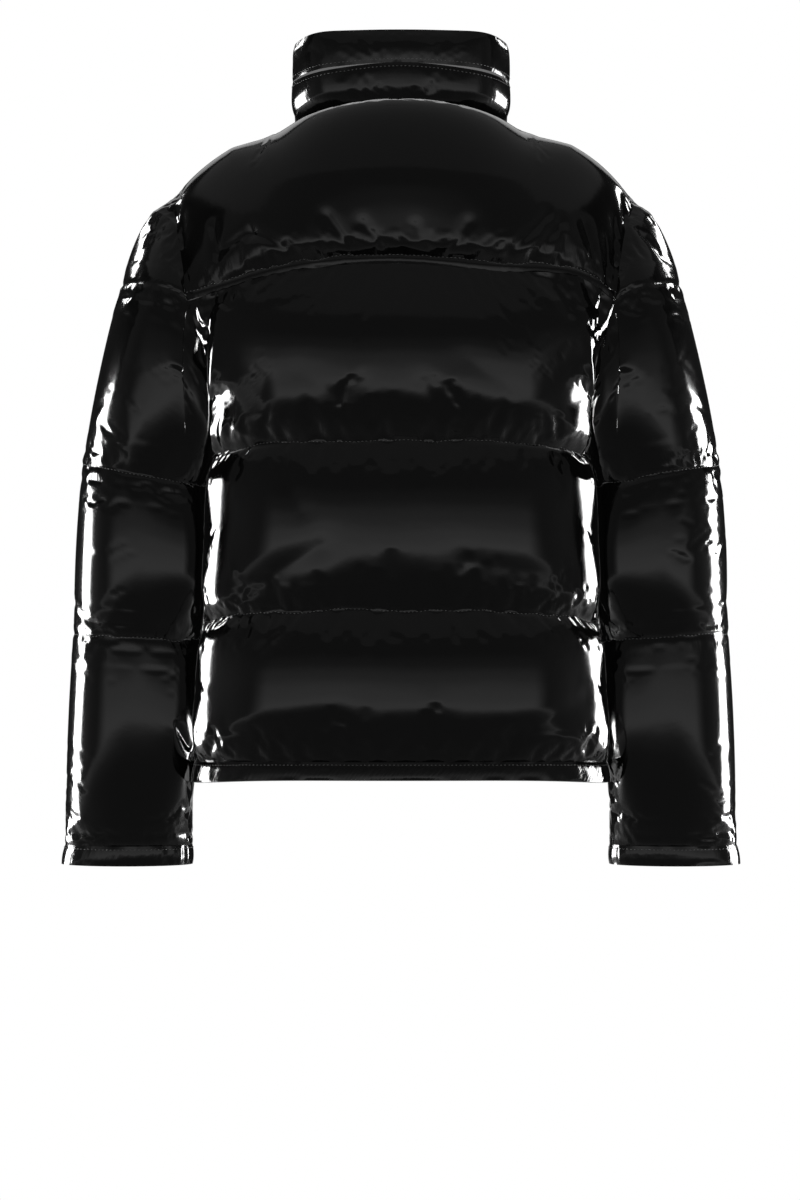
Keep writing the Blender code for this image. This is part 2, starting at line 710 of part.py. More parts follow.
def front_left(armhole):
    """The left front from the yoke to the hem, quilted in four puffs at the back's heights."""
    _, neck = neck_seam(NECKLINE)
    chest = chest_seam(armhole)
    middle = at_shares(spline([NECKLINE["front"], FRONT_NECK_TO_CHEST, FRONT_CHEST_MIDDLE]), PUFF_ROWS)
    top = front_yoke_seam(armhole) + neck[1:]
    grid = softened(stretched(top, chest, armhole["chest"], middle), BESIDE_ZIP)
    sections = [front_section(name) for name in ("line_1", "line_2", "hem_line")]
    side = scye_and_side(armhole["front_scye"], sections[0][0])
    middle = between(chest[-1], sections[0][-1], SCYE_ROWS)
    grid += softened(stretched(chest, sections[0], side, middle), BESIDE_ZIP)[1:]
    for above, under in zip(sections, sections[1:]):
        side = between(above[0], under[0], PUFF_ROWS)
        middle = between(above[-1], under[-1], PUFF_ROWS)
        grid += stretched(above, under, side, middle)[1:]
    grid = [row[::-1] for row in grid]
    spans = spans_of(PUFF_ROWS, SCYE_ROWS, PUFF_ROWS, PUFF_ROWS)
    heights = torso_puffs(grid, spans, FRONT_PUFF, (ZIP_EASE, SEAM_EASE))
    return Piece("front_left", grid, spans, heights, gaps={"left": ZIP_HALF})


def sleeve_cap_left(armhole):
    """The cap between the armhole and the sleeve's first seam, pointed at both ends."""
    over, seam = upper_armhole(armhole), cap_seam(armhole)
    grid = [[a.lerp(b, share) for a, b in zip(over, seam)] for share in CAP_ROWS]

    def height(share, along, total, place, gather):
        ends = ease(along, SEAM_EASE) * ease(total - along, SEAM_EASE)
        return ends * (CAP_PUFF * crown(share) + gather / 2)

    spans = spans_of(CAP_ROWS)
    return Piece("sleeve_cap_left", grid, spans, quilted(grid, spans, height))


def sleeve_turns(armhole):
    """How far round the sleeve each column stands, from the underarm round the front."""
    outside = 2 * math.pi - 2 * SCYE_TURN
    turns = [SCYE_TURN * share for share in shares_of(armhole["front_scye"][::-1])]
    turns += [SCYE_TURN + outside * share for share in shares_of(cap_seam(armhole))[1:]]
    return turns + [2 * math.pi - SCYE_TURN * (1 - share) for share in shares_of(armhole["back_scye"])[1:]]


def sleeve_left(armhole):
    """The quilted tube from the armhole and the cap to the cuff."""
    loop = armhole["front_scye"][::-1] + cap_seam(armhole)[1:] + armhole["back_scye"][1:]
    turns = sleeve_turns(armhole)
    elbow, forearm, hem_level, cuff_line = (
        sleeve_ring(name, turns) for name in ("elbow", "forearm", "hem_level", "cuff_line")
    )
    grid = [loop]
    for above, under in ((loop, elbow), (elbow, forearm)):
        grid += [[a.lerp(b, share) for a, b in zip(above, under)] for share in PUFF_ROWS[1:]]
    columns = [at_shares(spline(points), PUFF_ROWS) for points in zip(forearm, hem_level, cuff_line)]
    grid += [list(row) for row in zip(*columns)][1:-1] + [cuff_line]

    def height(share, along, total, place, gather):
        turn = turns[place[1]]
        face = math.sin(turn) ** 2
        end = SLEEVE_PUFF["inner"] if math.cos(turn) > 0 else SLEEVE_PUFF["outer"]
        return (SLEEVE_PUFF["face"] * face + end * (1 - face)) * crown(share) + gather * face

    spans = spans_of(PUFF_ROWS, PUFF_ROWS, PUFF_ROWS)
    return Piece("sleeve_left", grid, spans, quilted(grid, spans, height), ring=True)


def band(name, upper, lower, ring, gaps):
    """A plain folded band between two rows, slightly fuller in its middle."""
    shares = (0.0, 0.5, 1.0)
    grid = [[a.lerp(b, share) for a, b in zip(upper, lower)] for share in shares]
    heights = [[BAND_PUFF * crown(share)] * len(upper) for share in shares]
    gaps = {**gaps, "bottom": 0.0}
    return Piece(name, grid, spans_of(shares), heights, BINDING, ring, gaps, "trim")


def cuff_left(armhole):
    turns = sleeve_turns(armhole)
    return band("cuff_left", sleeve_ring("cuff_line", turns), sleeve_ring("cuff_edge", turns), True, {})


def hem_band():
    """The band round the hem, from the zip on the wearer's left front round the back to the right front."""
    rows = []
    for seam in ("hem_line", "hem_edge"):
        front = front_section(seam)
        rows.append(front[::-1] + back_section(seam)[1:] + mirrored(front)[1:])
    return band("hem_band", *rows, False, {"left": ZIP_HALF, "right": ZIP_HALF})


def collar_row(table):
    """A collar line from the zip on the wearer's left round the nape to the zip on the right."""
    back, front = neck_seam(table)
    half = back + front[1:]
    return half[::-1] + mirrored(half)[1:]


def collar_band(name, upper, lower, shares, rises, gaps):
    """A band of the stand collar. Beside the zip and at the neck seam its padding is pressed flat."""
    lengths = distances(lower)
    flat = lengths[1]
    fullness = [ease(min(d, lengths[-1] - d) - flat, ZIP_EASE / 2) for d in lengths]
    grid = [[a.lerp(b, share) for a, b in zip(upper, lower)] for share in shares]
    heights = [[rise * full for full in fullness] for rise in rises]
    pads = [0.0 if name == "collar_lower" and share == 1 else COLLAR_PAD - CLOTH for share in shares]
    walls = [[CLOTH + pad * full for full in fullness] for pad in pads]
    gaps = {**gaps, "left": ZIP_HALF, "right": ZIP_HALF}
    return Piece(name, grid, spans_of(shares), heights, walls, gaps=gaps)


def collar_pieces():
    """The stand collar's lower band, and its upper band with the rounded edge."""
    base, line, edge = collar_row(NECKLINE), collar_row(COLLAR_LINE), collar_row(COLLAR_TOP)
    shares = (0.0, 0.2, 0.5, 0.8, 1.0)
    rises = [COLLAR_PUFF * crown(share) for share in shares]
    lower = collar_band("collar_lower", line, base, shares, rises, {})
    shares = (0.0, 0.12, 0.3, 0.6, 0.85, 1.0)
    rises = (-0.0035, -0.0008, 0.0018, COLLAR_PUFF, 0.0018, 0.0)
    return [lower, collar_band("collar_upper", edge, line, shares, rises, {"top": 0.0})]


def opposite(piece):
    """The same piece on the wearer's right."""
    grid = [mirrored(row)[::-1] for row in piece.grid]
    heights = [row[::-1] for row in piece.heights]
    gaps = {**piece.gaps, "left": piece.gaps["right"], "right": piece.gaps["left"]}
    name = piece.name.replace("left", "right")
    walls = [row[::-1] for row in piece.walls]
    return Piece(name, grid, piece.spans, heights, walls, piece.ring, gaps, piece.material)


# ---- The zip


def zip_line(front, collar, hem):
    """The middle of the zip's slot, from the collar's edge to the hem, on the pieces' own points."""
    lower, upper = collar
    line = [row[0] for row in upper.grid]
    for piece in (lower, front, hem):
        line += [row[0] for row in piece.grid][1:]
    return line


def trimmed(line, start, end):
    """The line between two distances along it."""
    lengths = distances(line)
    ends = at_shares(line, (start / lengths[-1], end / lengths[-1]))
    inside = [p for p, length in zip(line, lengths) if start + 1e-4 < length < end - 1e-4]
    return [ends[0], *inside, ends[1]]


def outward(line, i):
    """The unit normal of a line in the middle plane, towards the jacket's outside."""
    along = (line[min(i + 1, len(line) - 1)] - line[max(i - 1, 0)]).normalized()
    return Vector((0.0, along.z, -along.y))


def zip_strip(name, line, sizes, side, material):
    """A flat strip along the zip. The side is 1 on the wearer's left and -1 on the right."""
    mesh = bmesh.new()
    rings = []
    for i, point in enumerate(line):
        normal = outward(line, i)
        corners = (("near", "outer"), ("far", "outer"), ("far", "inner"), ("near", "inner"))
        places = [point + Vector((side * sizes[x], 0, 0)) + normal * sizes[h] for x, h in corners]
        rings.append([mesh.verts.new(place) for place in places])
    for upper, lower in zip(rings, rings[1:]):
        for k in range(4):
            mesh.faces.new([upper[k - 1], upper[k], lower[k], lower[k - 1]])
    mesh.faces.new(rings[0])
    mesh.faces.new(rings[-1][::-1])
    add_object(name, mesh, material)


def box(name, width, height, depth, centre):
    """A metal box with its width along X, its height along Z and its depth along Y."""
    mesh = bmesh.new()
    bmesh.ops.create_cube(mesh, size=1.0)
    bmesh.ops.scale(mesh, vec=(width, depth, height), verts=mesh.verts)
    bmesh.ops.translate(mesh, vec=centre, verts=mesh.verts)
    return add_object(name, mesh, "metal")


def combine(body, tool, operation):
    """Add a tool's shape to a body, or cut it out, and keep the tool as a hidden guide."""
    modifier = body.modifiers.new(tool.name, "BOOLEAN")
    modifier.operation = operation
    modifier.object = tool
    tool.hide_render = True
    tool.display_type = "WIRE"


def place(objects, frame):
    for made in objects:
        made.matrix_world = frame


def slider_and_pull(line):
    """The slider at the top of the zip, and the pull that swings on its bail about the X axis."""
    length_of_zip = distances(line)[-1]
    point, below = at_shares(line, (SLIDER_DROP / length_of_zip, (SLIDER_DROP + 0.005) / length_of_zip))
    normal = outward([point, below], 0)
    frame = Matrix.Translation(point) @ Matrix.Rotation(math.atan2(-normal.z, -normal.y), 4, "X")

    width, length, wing = SLIDER["width"], SLIDER["length"], SLIDER["wing"]
    outer_face, inner_face = -SLIDER["outer"], -SLIDER["inner"]
    slider = box("zip_slider", width, length, wing, (0, outer_face + wing / 2, 0))
    inner_wing = box("slider_inner_wing", width, length, wing, (0, inner_face - wing / 2, 0))
    depth = inner_face - outer_face - wing
    post_height = (length - POST["length"]) / 2 - POST["below_top"]
    post_centre = (0, (inner_face + outer_face) / 2, post_height)
    post = box("slider_post", POST["width"], POST["length"], depth, post_centre)
    bail_root = wing / 3
    bail_depth = BAIL["rise"] + bail_root
    bail_centre = (0, outer_face + bail_root - bail_depth / 2, 0)
    bail = box("slider_bail", BAIL["width"], BAIL["length"], bail_depth, bail_centre)
    hole_depth = BAIL["rise"] - BAIL["wall"]
    hole_centre = (0, outer_face - hole_depth / 2, 0)
    hole = box("bail_hole", width, BAIL["length"] - 2 * BAIL["wall"], hole_depth, hole_centre)
    combine(bail, hole, "DIFFERENCE")
    for tool in (inner_wing, post, bail):
        combine(slider, tool, "UNION")
    place((slider, inner_wing, post, bail, hole), frame)

    pivot = frame @ Matrix.Translation((0, outer_face - PULL_PIVOT, 0))
    centre = (0, 0, PULL["bar"] / 2 - PULL["length"] / 2)
    pull = box("zip_pull", PULL["width"], PULL["length"], PULL["thick"], centre)
    eye_centre = (0, 0, -PULL["bar"] / 2 - PULL["eye"] / 2)
    eye = box("pull_eye", PULL["width"] - 2 * PULL["rail"], PULL["eye"], 2 * PULL["thick"], eye_centre)
    combine(pull, eye, "DIFFERENCE")
    place((pull, eye), pivot)


def make_zip(front, collar, hem):
    line = zip_line(front, collar, hem)
    end = distances(line)[-1] - TAPE_END
    chain_start = SLIDER_DROP - SLIDER["length"] / 2 + POST["below_top"] + POST["length"] + SEAM_GAP
    zip_strip("zip_chain", trimmed(line, chain_start, end), ZIP_STRIPS["chain"], 1, "zip")
    for name, side in (("zip_tape_left", 1), ("zip_tape_right", -1)):
        zip_strip(name, trimmed(line, TAPE_END, end), ZIP_STRIPS["tape"], side, "trim")
    slider_and_pull(line)


def add_materials():
    for name, (colour, roughness, metallic) in COLOURS.items():
        material = bpy.data.materials.new(name)
        material.use_nodes = True
        shader = material.node_tree.nodes["Principled BSDF"]
        shader.inputs["Base Color"].default_value = colour
        shader.inputs["Roughness"].default_value = roughness
        shader.inputs["Metallic"].default_value = metallic
        material.diffuse_color = colour


def main():
    for old in list(bpy.data.objects):
        bpy.data.objects.remove(old)
    add_materials()
    armhole = armhole_seams()
    front, collar, hem = front_left(armhole), collar_pieces(), hem_band()
    pieces = [back_yoke(armhole), back_panel(armhole), *collar, hem]
    for left in (front, sleeve_cap_left(armhole), sleeve_left(armhole), cuff_left(armhole)):
        pieces += [left, opposite(left)]
    share_seam_normals(pieces)
    for piece in pieces:
        fold_into(piece)
        make_wall(piece)
    make_zip(front, collar, hem)


main()
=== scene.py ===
"""Puffer jacket in black coated nylon: quilted puffs, a padded stand collar, bound hem and cuffs, a full front zip.

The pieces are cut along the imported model's own seams. Each quilted piece is a fine grid between its seams, which
Blender's cloth inflates while the seams are held, so that the gathers form as they do on the real jacket.
Metres, +Z up, the front faces -Y, +X is the wearer's left. Grids run down in rows and left to right in columns,
as seen from outside.
"""

import math

import bmesh
import bpy
import numpy as np
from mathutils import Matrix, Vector


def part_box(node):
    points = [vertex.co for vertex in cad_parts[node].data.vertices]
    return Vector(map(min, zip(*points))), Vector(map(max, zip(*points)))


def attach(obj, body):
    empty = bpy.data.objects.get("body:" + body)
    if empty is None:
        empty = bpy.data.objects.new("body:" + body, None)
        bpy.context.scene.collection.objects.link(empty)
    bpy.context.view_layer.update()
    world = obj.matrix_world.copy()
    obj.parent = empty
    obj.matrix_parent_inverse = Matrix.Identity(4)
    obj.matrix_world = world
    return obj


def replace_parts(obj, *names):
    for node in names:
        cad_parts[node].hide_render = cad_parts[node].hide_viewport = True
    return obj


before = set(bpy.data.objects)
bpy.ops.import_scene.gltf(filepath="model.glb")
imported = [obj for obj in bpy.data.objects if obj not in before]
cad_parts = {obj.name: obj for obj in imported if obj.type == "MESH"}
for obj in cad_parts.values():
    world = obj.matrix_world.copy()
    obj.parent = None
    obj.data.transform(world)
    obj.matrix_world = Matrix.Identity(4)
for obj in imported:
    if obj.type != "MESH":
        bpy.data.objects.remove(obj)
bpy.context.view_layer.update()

bl_info = {
    "name": "Puffer jacket",
    "version": (1, 0, 0),
    "blender": (4, 5, 0),
    "location": "View3D > Sidebar > Jacket",
    "description": "Sews, fills and finishes a glossy puffer jacket around its packed model",
    "category": "Object",
}


def in_metres(table):
    """Numbers given in millimetres, or a table of them by name."""
    if isinstance(table, dict):
        return {name: in_metres(rows) for name, rows in table.items()}
    return np.array(table, float) / 1000


# ---- Seams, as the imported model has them

CLOTH = 0.003  # wall of a piece at a seam
COLLAR_PAD = 0.011
BINDING = 0.0035
ZIP_HALF = 0.0055  # from the middle of the zip to the edge of a front
# Height of each puff, and how full it is below its middle
BACK_PUFFS = ((0.031, 2.8), (0.021, 2.1), (0.021, 2.6))
FRONT_PUFFS = ((0.019, 2.8), (0.019, 2.8), (0.019, 2.2), (0.019, 2.6))
BLADE_SINK = 1.2  # the first puff of the back hangs lower
YOKE_PUFF = 0.022
# Where the body turns to its sides: how high its puffs are there, the share they keep of what a puff is higher than the
# middle one of the back, and how square they are. They start and end where the normal has turned this far, and the
# filling has less room there.
SIDE = {"puff": 0.014, "share": 0.7, "power": 6, "start": 0.35, "span": 0.35, "end": 0.99, "fade": 0.12, "tight": 0.6}
CAP_PUFF = 0.005
SLEEVE_PUFF = {"inner": 0.0, "face": 0.015, "outer": 0.0025, "corner": 0.014}
COLLAR_PUFF = 0.003
COLLAR_CORNER = 0.018
COLLAR_FLAT = {"by": 0.7, "start": 0.3, "span": 0.4}  # its padding at the sides of the neck
BAND_PUFF = 0.0012
COLLAR_TUCK = {"lower": 0.0020, "upper": 0.0035, "over": 0.12}  # how far the bands turn in at their free edges
NECK_LEAN = {"beside": 0.75, "columns": 8.0}
CROWN_POWER = 2.2
SEAM_EASE = 0.055
YOKE_EASE = 0.13
YOKE_POWER = 13.0  # the yoke stays full down to its flange
YOKE_SAG = {"depth": 0.0045, "from": 0.6}
ZIP_EASE = 0.045
ROOM = {  # how far the filling may push past a puff: beside the edges, and as much more within a reach of them
    "back_yoke": (0.001, 0.004, 0.020),
    "torso": (0.001, 0.005, 0.018),
    "sleeve_cap": (0.0005, 0.004, SEAM_EASE),
    "collar": (0.0005, 0.002, ZIP_EASE / 2),
}
SLEEVE_ROOM = {"edge": 0.0005, "face": 0.004, "outer": 0.003}
BAND_ROOM = 0.0008

ARMHOLE = in_metres(  # point of the armhole seam on the wearer's left: x, y, z
    {
        "back_corner": (208, 88, -179),
        "back_blade": (214, 75, -140),
        "back_shoulder": (224, 47, -99),
        "shoulder": (247.5, 2, -82),
        "front_shoulder": (230, -44, -102),
        "front_corner": (203, -86, -168),
        "front_scoop": (189, -78, -222),
        "underarm_front": (185, -45, -273),
        "underarm": (188, 0, -296),
        "underarm_back": (186, 47, -274),
        "back_scoop": (193, 82, -228),
    }
)
COLLAR_LINES = in_metres(  # seam: nape, back, back of the side, side, corner of the yoke, front of the side, front
    {
        "neck": (
            (0, 81, 18.4), (55, 69, 14.5), (94, 30, 4.5), (103.5, 0, -3), (98, -34, -13.5), (67, -66, -26.5),
            (0, -83, -40),
        ),
        "middle": (
            (0, 89, 53.5), (58, 74, 50), (95.5, 34, 42.5), (105, 0, 36), (99.5, -34, 27), (67, -66, 13),
            (0, -82, 2),
        ),
        "top": (
            (0, 86, 86.5), (60, 73, 85.5), (95, 34, 79), (104.5, 0, 70), (98.5, -34, 61), (66, -65, 49),
            (0, -80, 41),
        ),
    }
)
YOKE_CORNER = 4  # which of those points is the corner of the yoke
FRONT_YOKE_MIDDLE = in_metres((170, -47, -47))
BACK_YOKE_SEAM = in_metres((
    (170, 108, -169), (126, 123, -157), (74, 131, -149.5), (0, 134, -147), (-86, 130, -153), (-158, 113, -155),
    (-186, 101, -164),
))
FRONT_CHEST_SEAM = in_metres(((165, -100, -166.5), (110, -113, -165), (50, -120, -164), (0, -122, -164)))
FRONT_NECK_TO_CHEST = in_metres((0, -104.5, -98))
SQUARENESS = 2.35
TORSO = {
    "line_1": {"z": -0.3165, "drop": 0.0135, "half": 0.1900, "back": 0.130, "front": 0.124},
    "line_2": {"z": -0.4806, "drop": 0.0110, "half": 0.1965, "back": 0.127, "front": 0.128},
    "hem_line": {"z": -0.6263, "drop": 0.0040, "half": 0.2055, "back": 0.125, "front": 0.124},
    "hem_edge": {"z": -0.6433, "drop": 0.0075, "half": 0.2095, "back": 0.129, "front": 0.127},
}
DROP_POWER = 4
CAP_SEAM = in_metres((
    (219, -90, -161), (244, -80, -157), (268, -47, -156), (277.5, 0, -157), (269, 47, -158), (247, 80, -162),
    (224, 91, -168),
))
SLEEVE = {
    "elbow": {"x": 0.2552, "y": 0.000, "z": -0.3465, "rise": 0.022, "half": 0.0624, "deep": 0.068},
    "forearm": {"x": 0.2632, "y": -0.010, "z": -0.5070, "rise": 0.007, "half": 0.0640, "deep": 0.058},
    "hem_level": {"x": 0.2722, "y": -0.024, "z": -0.6450, "rise": 0.000, "half": 0.0626, "deep": 0.046},
    "cuff_line": {"x": 0.2745, "y": -0.031, "z": -0.7160, "rise": 0.000, "half": 0.0640, "deep": 0.040},
    "cuff_edge": {"x": 0.2765, "y": -0.033, "z": -0.7360, "rise": 0.000, "half": 0.0662, "deep": 0.040},
}
SCYE_TURN = math.radians(58)

# ---- How finely each piece is cut into cells of about 4.6 mm. All counts are even.

COLUMNS = {
    "yoke_front": 24,
    "yoke_neck": 60,
    "front_yoke": 38,
    "front_neck": 26,
    "scye": 24,
    "over": 46,
    "collar_back": 44,
    "collar_front": 20,
    "cap": 64,
}
BACK_COLUMNS = 2 * COLUMNS["yoke_front"] + COLUMNS["yoke_neck"]
FRONT_COLUMNS = COLUMNS["front_yoke"] + COLUMNS["front_neck"]
ROWS = {
    "yoke": 50,
    "scye": 38,
    "side": 6,
    "back": 40,
    "hem": 34,
    "front_chest": 34,
    "upper_sleeve": 38,
    "sleeve": 38,
    "cuff": 50,
    "cap": 18,
    "collar": 10,
    "band": 6,
}

SOFTENING = {"back_yoke": 60, "back": 160, "front": 60}  # rounds of drawing the points towards their neighbours
STRAIGHT_COLUMNS = 8  # of the fronts, beside the zip

FLANGE = {"rows": 3, "height": 0.0085, "rise": 0.0026}  # the fold of the yoke's lower edge over the back
FLANGE_TURNS = (0.06, 0.35, 0.62, 0.82)  # of half a circle, at its rows

STITCH = {"pitch": 0.0040, "length": 0.0026, "width": 0.0009, "rise": 0.0003}
TOOTH = {"pitch": 0.0032, "outer": -0.0027, "inner": -0.0057}  # depths from the fronts' surface
METAL_EDGE = 0.0003  # rounding of the slider and the pull tab
# From the foot on the tape to the tip: the distance from the zip's middle, and half the width in pitches.
TOOTH_STEPS = ((0.0029, 0.28), (0.0008, 0.20), (0.0002, 0.34), (-0.0009, 0.27), (-0.0012, 0.0))

# Rows that show their thread, where they aren't the seams inside a piece
THREAD_ROWS = {"collar_upper": [ROWS["collar"] - 1], "collar_lower": [1], "hem_band": [1], "cuff": [1]}

# ---- Larger folds on the back, pressed in: from X and Z, to X and Z, width and depth, in millimetres

FOLDS = in_metres(
    {
        "back_yoke": (
            # shoulder ends, along the armhole
            (214, -67, 229, -100, 5, 4), (230, -80, 236, -108, 4, 3), (222, -90, 224, -135, 4.5, 3.5),
            (212, -92, 213, -124, 4, 2.5), (-222, -66, -232, -96, 5, 3.5), (-213, -74, -223, -110, 4.5, 3.5),
            (-206, -98, -208, -140, 5, 3.5),
            # above the seam
            (172, -136, 138, -121, 5.5, 3.5), (138, -121, 106, -136, 5.5, 3.5), (176, -112, 174, -142, 5, 3),
            (66, -106, 48, -134, 5.5, 3), (34, -112, 15, -136, 6, 3), (-13, -114, -24, -138, 6, 2.5),
            (-60, -112, -46, -138, 6, 2.5), (-134, -106, -103, -138, 5.5, 3), (-148, -112, -126, -142, 5, 3),
            (-173, -112, -187, -146, 5.5, 3.5), (-196, -120, -200, -150, 5, 3),
        ),
        "back_panel": (
            # below the yoke's corners
            (212, -187, 194, -202, 6, 4.5), (180, -172, 184, -208, 5.5, 4), (184, -208, 190, -250, 7, 4.5),
            (-131, -146, -158, -190, 7, 4), (-176, -150, -184, -186, 6, 3.5), (-194, -176, -188, -200, 5.5, 4),
            # slow dents across the first puff
            (90, -250, 60, -272, 15, 1.2), (-60, -240, -100, -268, 15, 1.4), (-20, -262, -36, -290, 10, 1.4),
            (36, -262, 30, -296, 10, 1.4), (120, -258, 124, -292, 10, 1.4), (15, -282, 14, -312, 4.5, 2),
            # slow dents across the other two puffs
            (150, -462, 75, -420, 18, 3), (-60, -432, -150, -448, 16, 1.6), (110, -345, 90, -385, 12, 1.2),
            (145, -604, 60, -586, 16, 2.4), (-100, -602, -170, -570, 15, 2), (130, -520, 116, -505, 7, 2),
        ),
    }
)

# ---- Pleats that rise from the seams: which seam and side; spacing, shortest and longest, narrowest and widest, and
# depth in millimetres; how much of them the middle of the row has

PLEATS = {
    "back_yoke": ((1, -1, 20, 14, 40, 3, 6, 2.6, 0.9),),
    "back_panel": (
        (0, 1, 18, 8, 30, 2, 5, 1.4, 0.4),
        (1, -1, 30, 30, 66, 6, 11, 4.6, 0.9),
        (1, -1, 16, 10, 30, 2, 4, 1.6, 0.5),
        (1, 1, 14, 10, 34, 2, 5, 1.8, 0.3),
        (2, -1, 13, 12, 44, 2, 5, 2.4, 0.2),
        (2, 1, 14, 8, 30, 2, 5, 1.8, 0.2),
        (3, -1, 16, 8, 30, 2, 5, 1.4, 0.2),
    ),
    "front": (
        (1, -1, 16, 12, 40, 2, 5, 2, 0.5),
        (1, 1, 16, 10, 34, 2, 5, 1.8, 0.5),
        (2, -1, 26, 24, 56, 4, 9, 3.6, 0.7),
        (2, 1, 14, 10, 34, 2, 5, 1.8, 0.3),
        (3, -1, 15, 12, 44, 2, 5, 2.2, 0.3),
        (3, 1, 14, 8, 30, 2, 5, 1.8, 0.3),
        (4, -1, 16, 8, 30, 2, 5, 1.4, 0.3),
    ),
    "sleeve_cap": (
        (0, 1, 15, 8, 24, 2, 4, 1.4, 1.0),
        (1, -1, 14, 6, 18, 2, 4, 1, 1.0),
    ),
    "sleeve": (
        (0, 1, 15, 8, 34, 2, 5, 1.6, 1.0),
        (1, -1, 13, 14, 60, 2, 6, 2.4, 1.0),
        (1, 1, 13, 12, 48, 2, 6, 2.2, 1.0),
        (2, -1, 15, 10, 34, 2, 5, 1.6, 1.0),
        (2, 1, 14, 8, 34, 2, 5, 1.6, 1.0),
        (3, -1, 15, 14, 56, 2, 6, 2, 1.0),
    ),
    "hem_band": ((0, 1, 12, 6, 16, 2, 4, 0.5, 1.0),),
    "cuff": ((0, 1, 12, 6, 18, 2, 4, 0.6, 1.0),),
}
WRINKLES = {  # heights that the filling starts from: gathers beside the seams, slow waves in between
    "back_yoke": (0.00032, 0.00032),
    "back_panel": (0.0008, 0.0008),
    "front": (0.0008, 0.0008),
    "sleeve_cap": (0.0002, 0.0004),
    "sleeve": (0.0002, 0.0004),
    "collar": (0.0001, 0.0002),
    "hem_band": (0.0004, 0.0003),
    "cuff": (0.0004, 0.0003),
}
PLEAT = {"reach": 0.075, "lean": 0.5, "ridge": 0.45, "spread": 2.2, "start": 0.003, "closest": 0.4, "weakest": 0.3}
NOISE = {"fine": (4.0, 1.1), "long": (9.0, 1.8), "slow": (14.0, 9.0)}  # cells from wave to wave, down and across
SEAM_WIGGLE = {"fine": 0.0005, "slow": 0.0008, "reach": 0.012}  # how far a quilting line strays, and its puffs with it

# How much of the spare cloth each piece takes beside its seams. The body takes more within a reach of its sides.
GATHERS = {"back_yoke": 0.10, "torso": 0.16, "sleeve_cap": 0.1, "sleeve": 0.18, "collar": 0.05}
TORSO_ENDS = {"more": 0.24, "reach": 0.060}

CLOTH_SETTINGS = {
    "quality": 5,
    "mass": 0.12,
    "tension_stiffness": 25,
    "compression_stiffness": 25,
    "shear_stiffness": 8,
    "tension_damping": 12,
    "compression_damping": 12,
    "shear_damping": 8,
    "bending_damping": 0.5,
    "air_damping": 2,
    "use_pressure": True,
    "vertex_group_mass": "held",
    "vertex_group_shrink": "taut",
}
FRAMES = 20  # of filling
SLACK = {"aside": 0.010, "low": 0.6, "below": 0.0007}  # how far the filled cloth may stray from its puff

WORLD_GLOW = 0.16
LIGHTS = {  # place, target, size and radiance; one off the middle stands on both sides
    "side_wall": ((2.1, -0.72, -0.88), (0, -0.72, -0.88), (0.8, 1.74), 27),
    "cap_light": ((1.77, -1.77, 0.9), (0, 0, -0.1), (0.42, 0.36), 16),
    "shoulder_light": ((0, -2.8, 1.3), (0, 0, -0.1), (3.2, 0.9), 0.7),
}
SCREEN = {"radius": 3.6, "height": 5.0, "front": 0.10, "back": 0.012, "narrower": 2.1}  # front and back: glow all over
# Ramps: from, to, and the grey at places in between. Up the screen, and round it from the middle of its front.
SCREEN_RISE = (-2.4, 1.6, ((-2.4, 0.6), (-1.55, 0.6), (-0.9, 0.46), (-0.2, 0.22), (0.5, 0.05), (1.2, 0.0)))
SCREEN_SIDES = (0.0, 5.7, ((0.0, 1.0), (2.6, 1.0), (3.35, 0.0)))
FLOOR = {"radius": 2.4, "z": -1.25, "colour": (0.03, 0.03, 0.03), "roughness": 0.6}
FLOOR_GLOW = ((0.0, 0.07), (1.4, 0.07), (1.8, 0.12), (2.15, 0.34), (2.4, 0.58))
CAMERA = {"x": 0.001, "y": 3.3, "z": -0.470, "sensor": 36.0, "view": 1.2}  # view: the picture's height at the origin

MIRROR = np.array((-1.0, 1.0, 1.0))
PANELS = {}  # the sewn pieces, for the stitches that follow their seams


# ---- Lines


def spline(points, closed=False, steps=24):
    """A smooth dense line through the points (Catmull-Rom)."""
    points = np.array([tuple(p) for p in points], float)
    if closed:
        padded = np.concatenate([points[-1:], points, points[:2]])
    else:
        padded = np.concatenate([[2 * points[0] - points[1]], points, [2 * points[-1] - points[-2]]])
    t = (np.arange(steps) / steps)[:, None]
    line = []
    for p0, p1, p2, p3 in zip(padded, padded[1:], padded[2:], padded[3:]):
        square = (2 * p0 - 5 * p1 + 4 * p2 - p3) * t**2
        cube = (3 * p1 - p0 - 3 * p2 + p3) * t**3
        line.append(0.5 * (2 * p1 + (p2 - p0) * t + square + cube))
    return np.concatenate([*line, points[:1] if closed else points[-1:]])


def distances(line):
    """Length along a line to each of its points."""
    return np.concatenate([[0.0], np.cumsum(np.linalg.norm(np.diff(line, axis=0), axis=1))])


def shares_of(line):
    lengths = distances(line)
    return lengths / max(lengths[-1], 1e-9)


def even(count):
    return np.linspace(0.0, 1.0, count + 1)


def at_shares(line, shares):
    """Points at these shares of a line's length."""
    return np.stack([np.interp(shares, shares_of(line), line[:, k]) for k in range(3)], axis=1)


def sampled(*stretches):
    """Points along joined stretches, each a line and how many steps to take along it."""
    found = [at_shares(line, even(count)) for line, count in stretches]
    return np.concatenate([found[0], *(points[1:] for points in found[1:])])


def part_of(line, start, end):
    """The stretch of a dense line between the points nearest to start and end, in that order."""
    a, b = (int(np.argmin(np.linalg.norm(line - np.array(p), axis=1))) for p in (start, end))
    return line[a : b + 1] if a < b else line[b : a + 1][::-1]


def mirrored(line):
    return line * MIRROR


def named(table, panel, default=None):
    """What a table says of a piece, by its name or by the first word or words of it."""
    return table.get(panel.name, table.get(panel.name.rsplit("_", 1)[0], default))


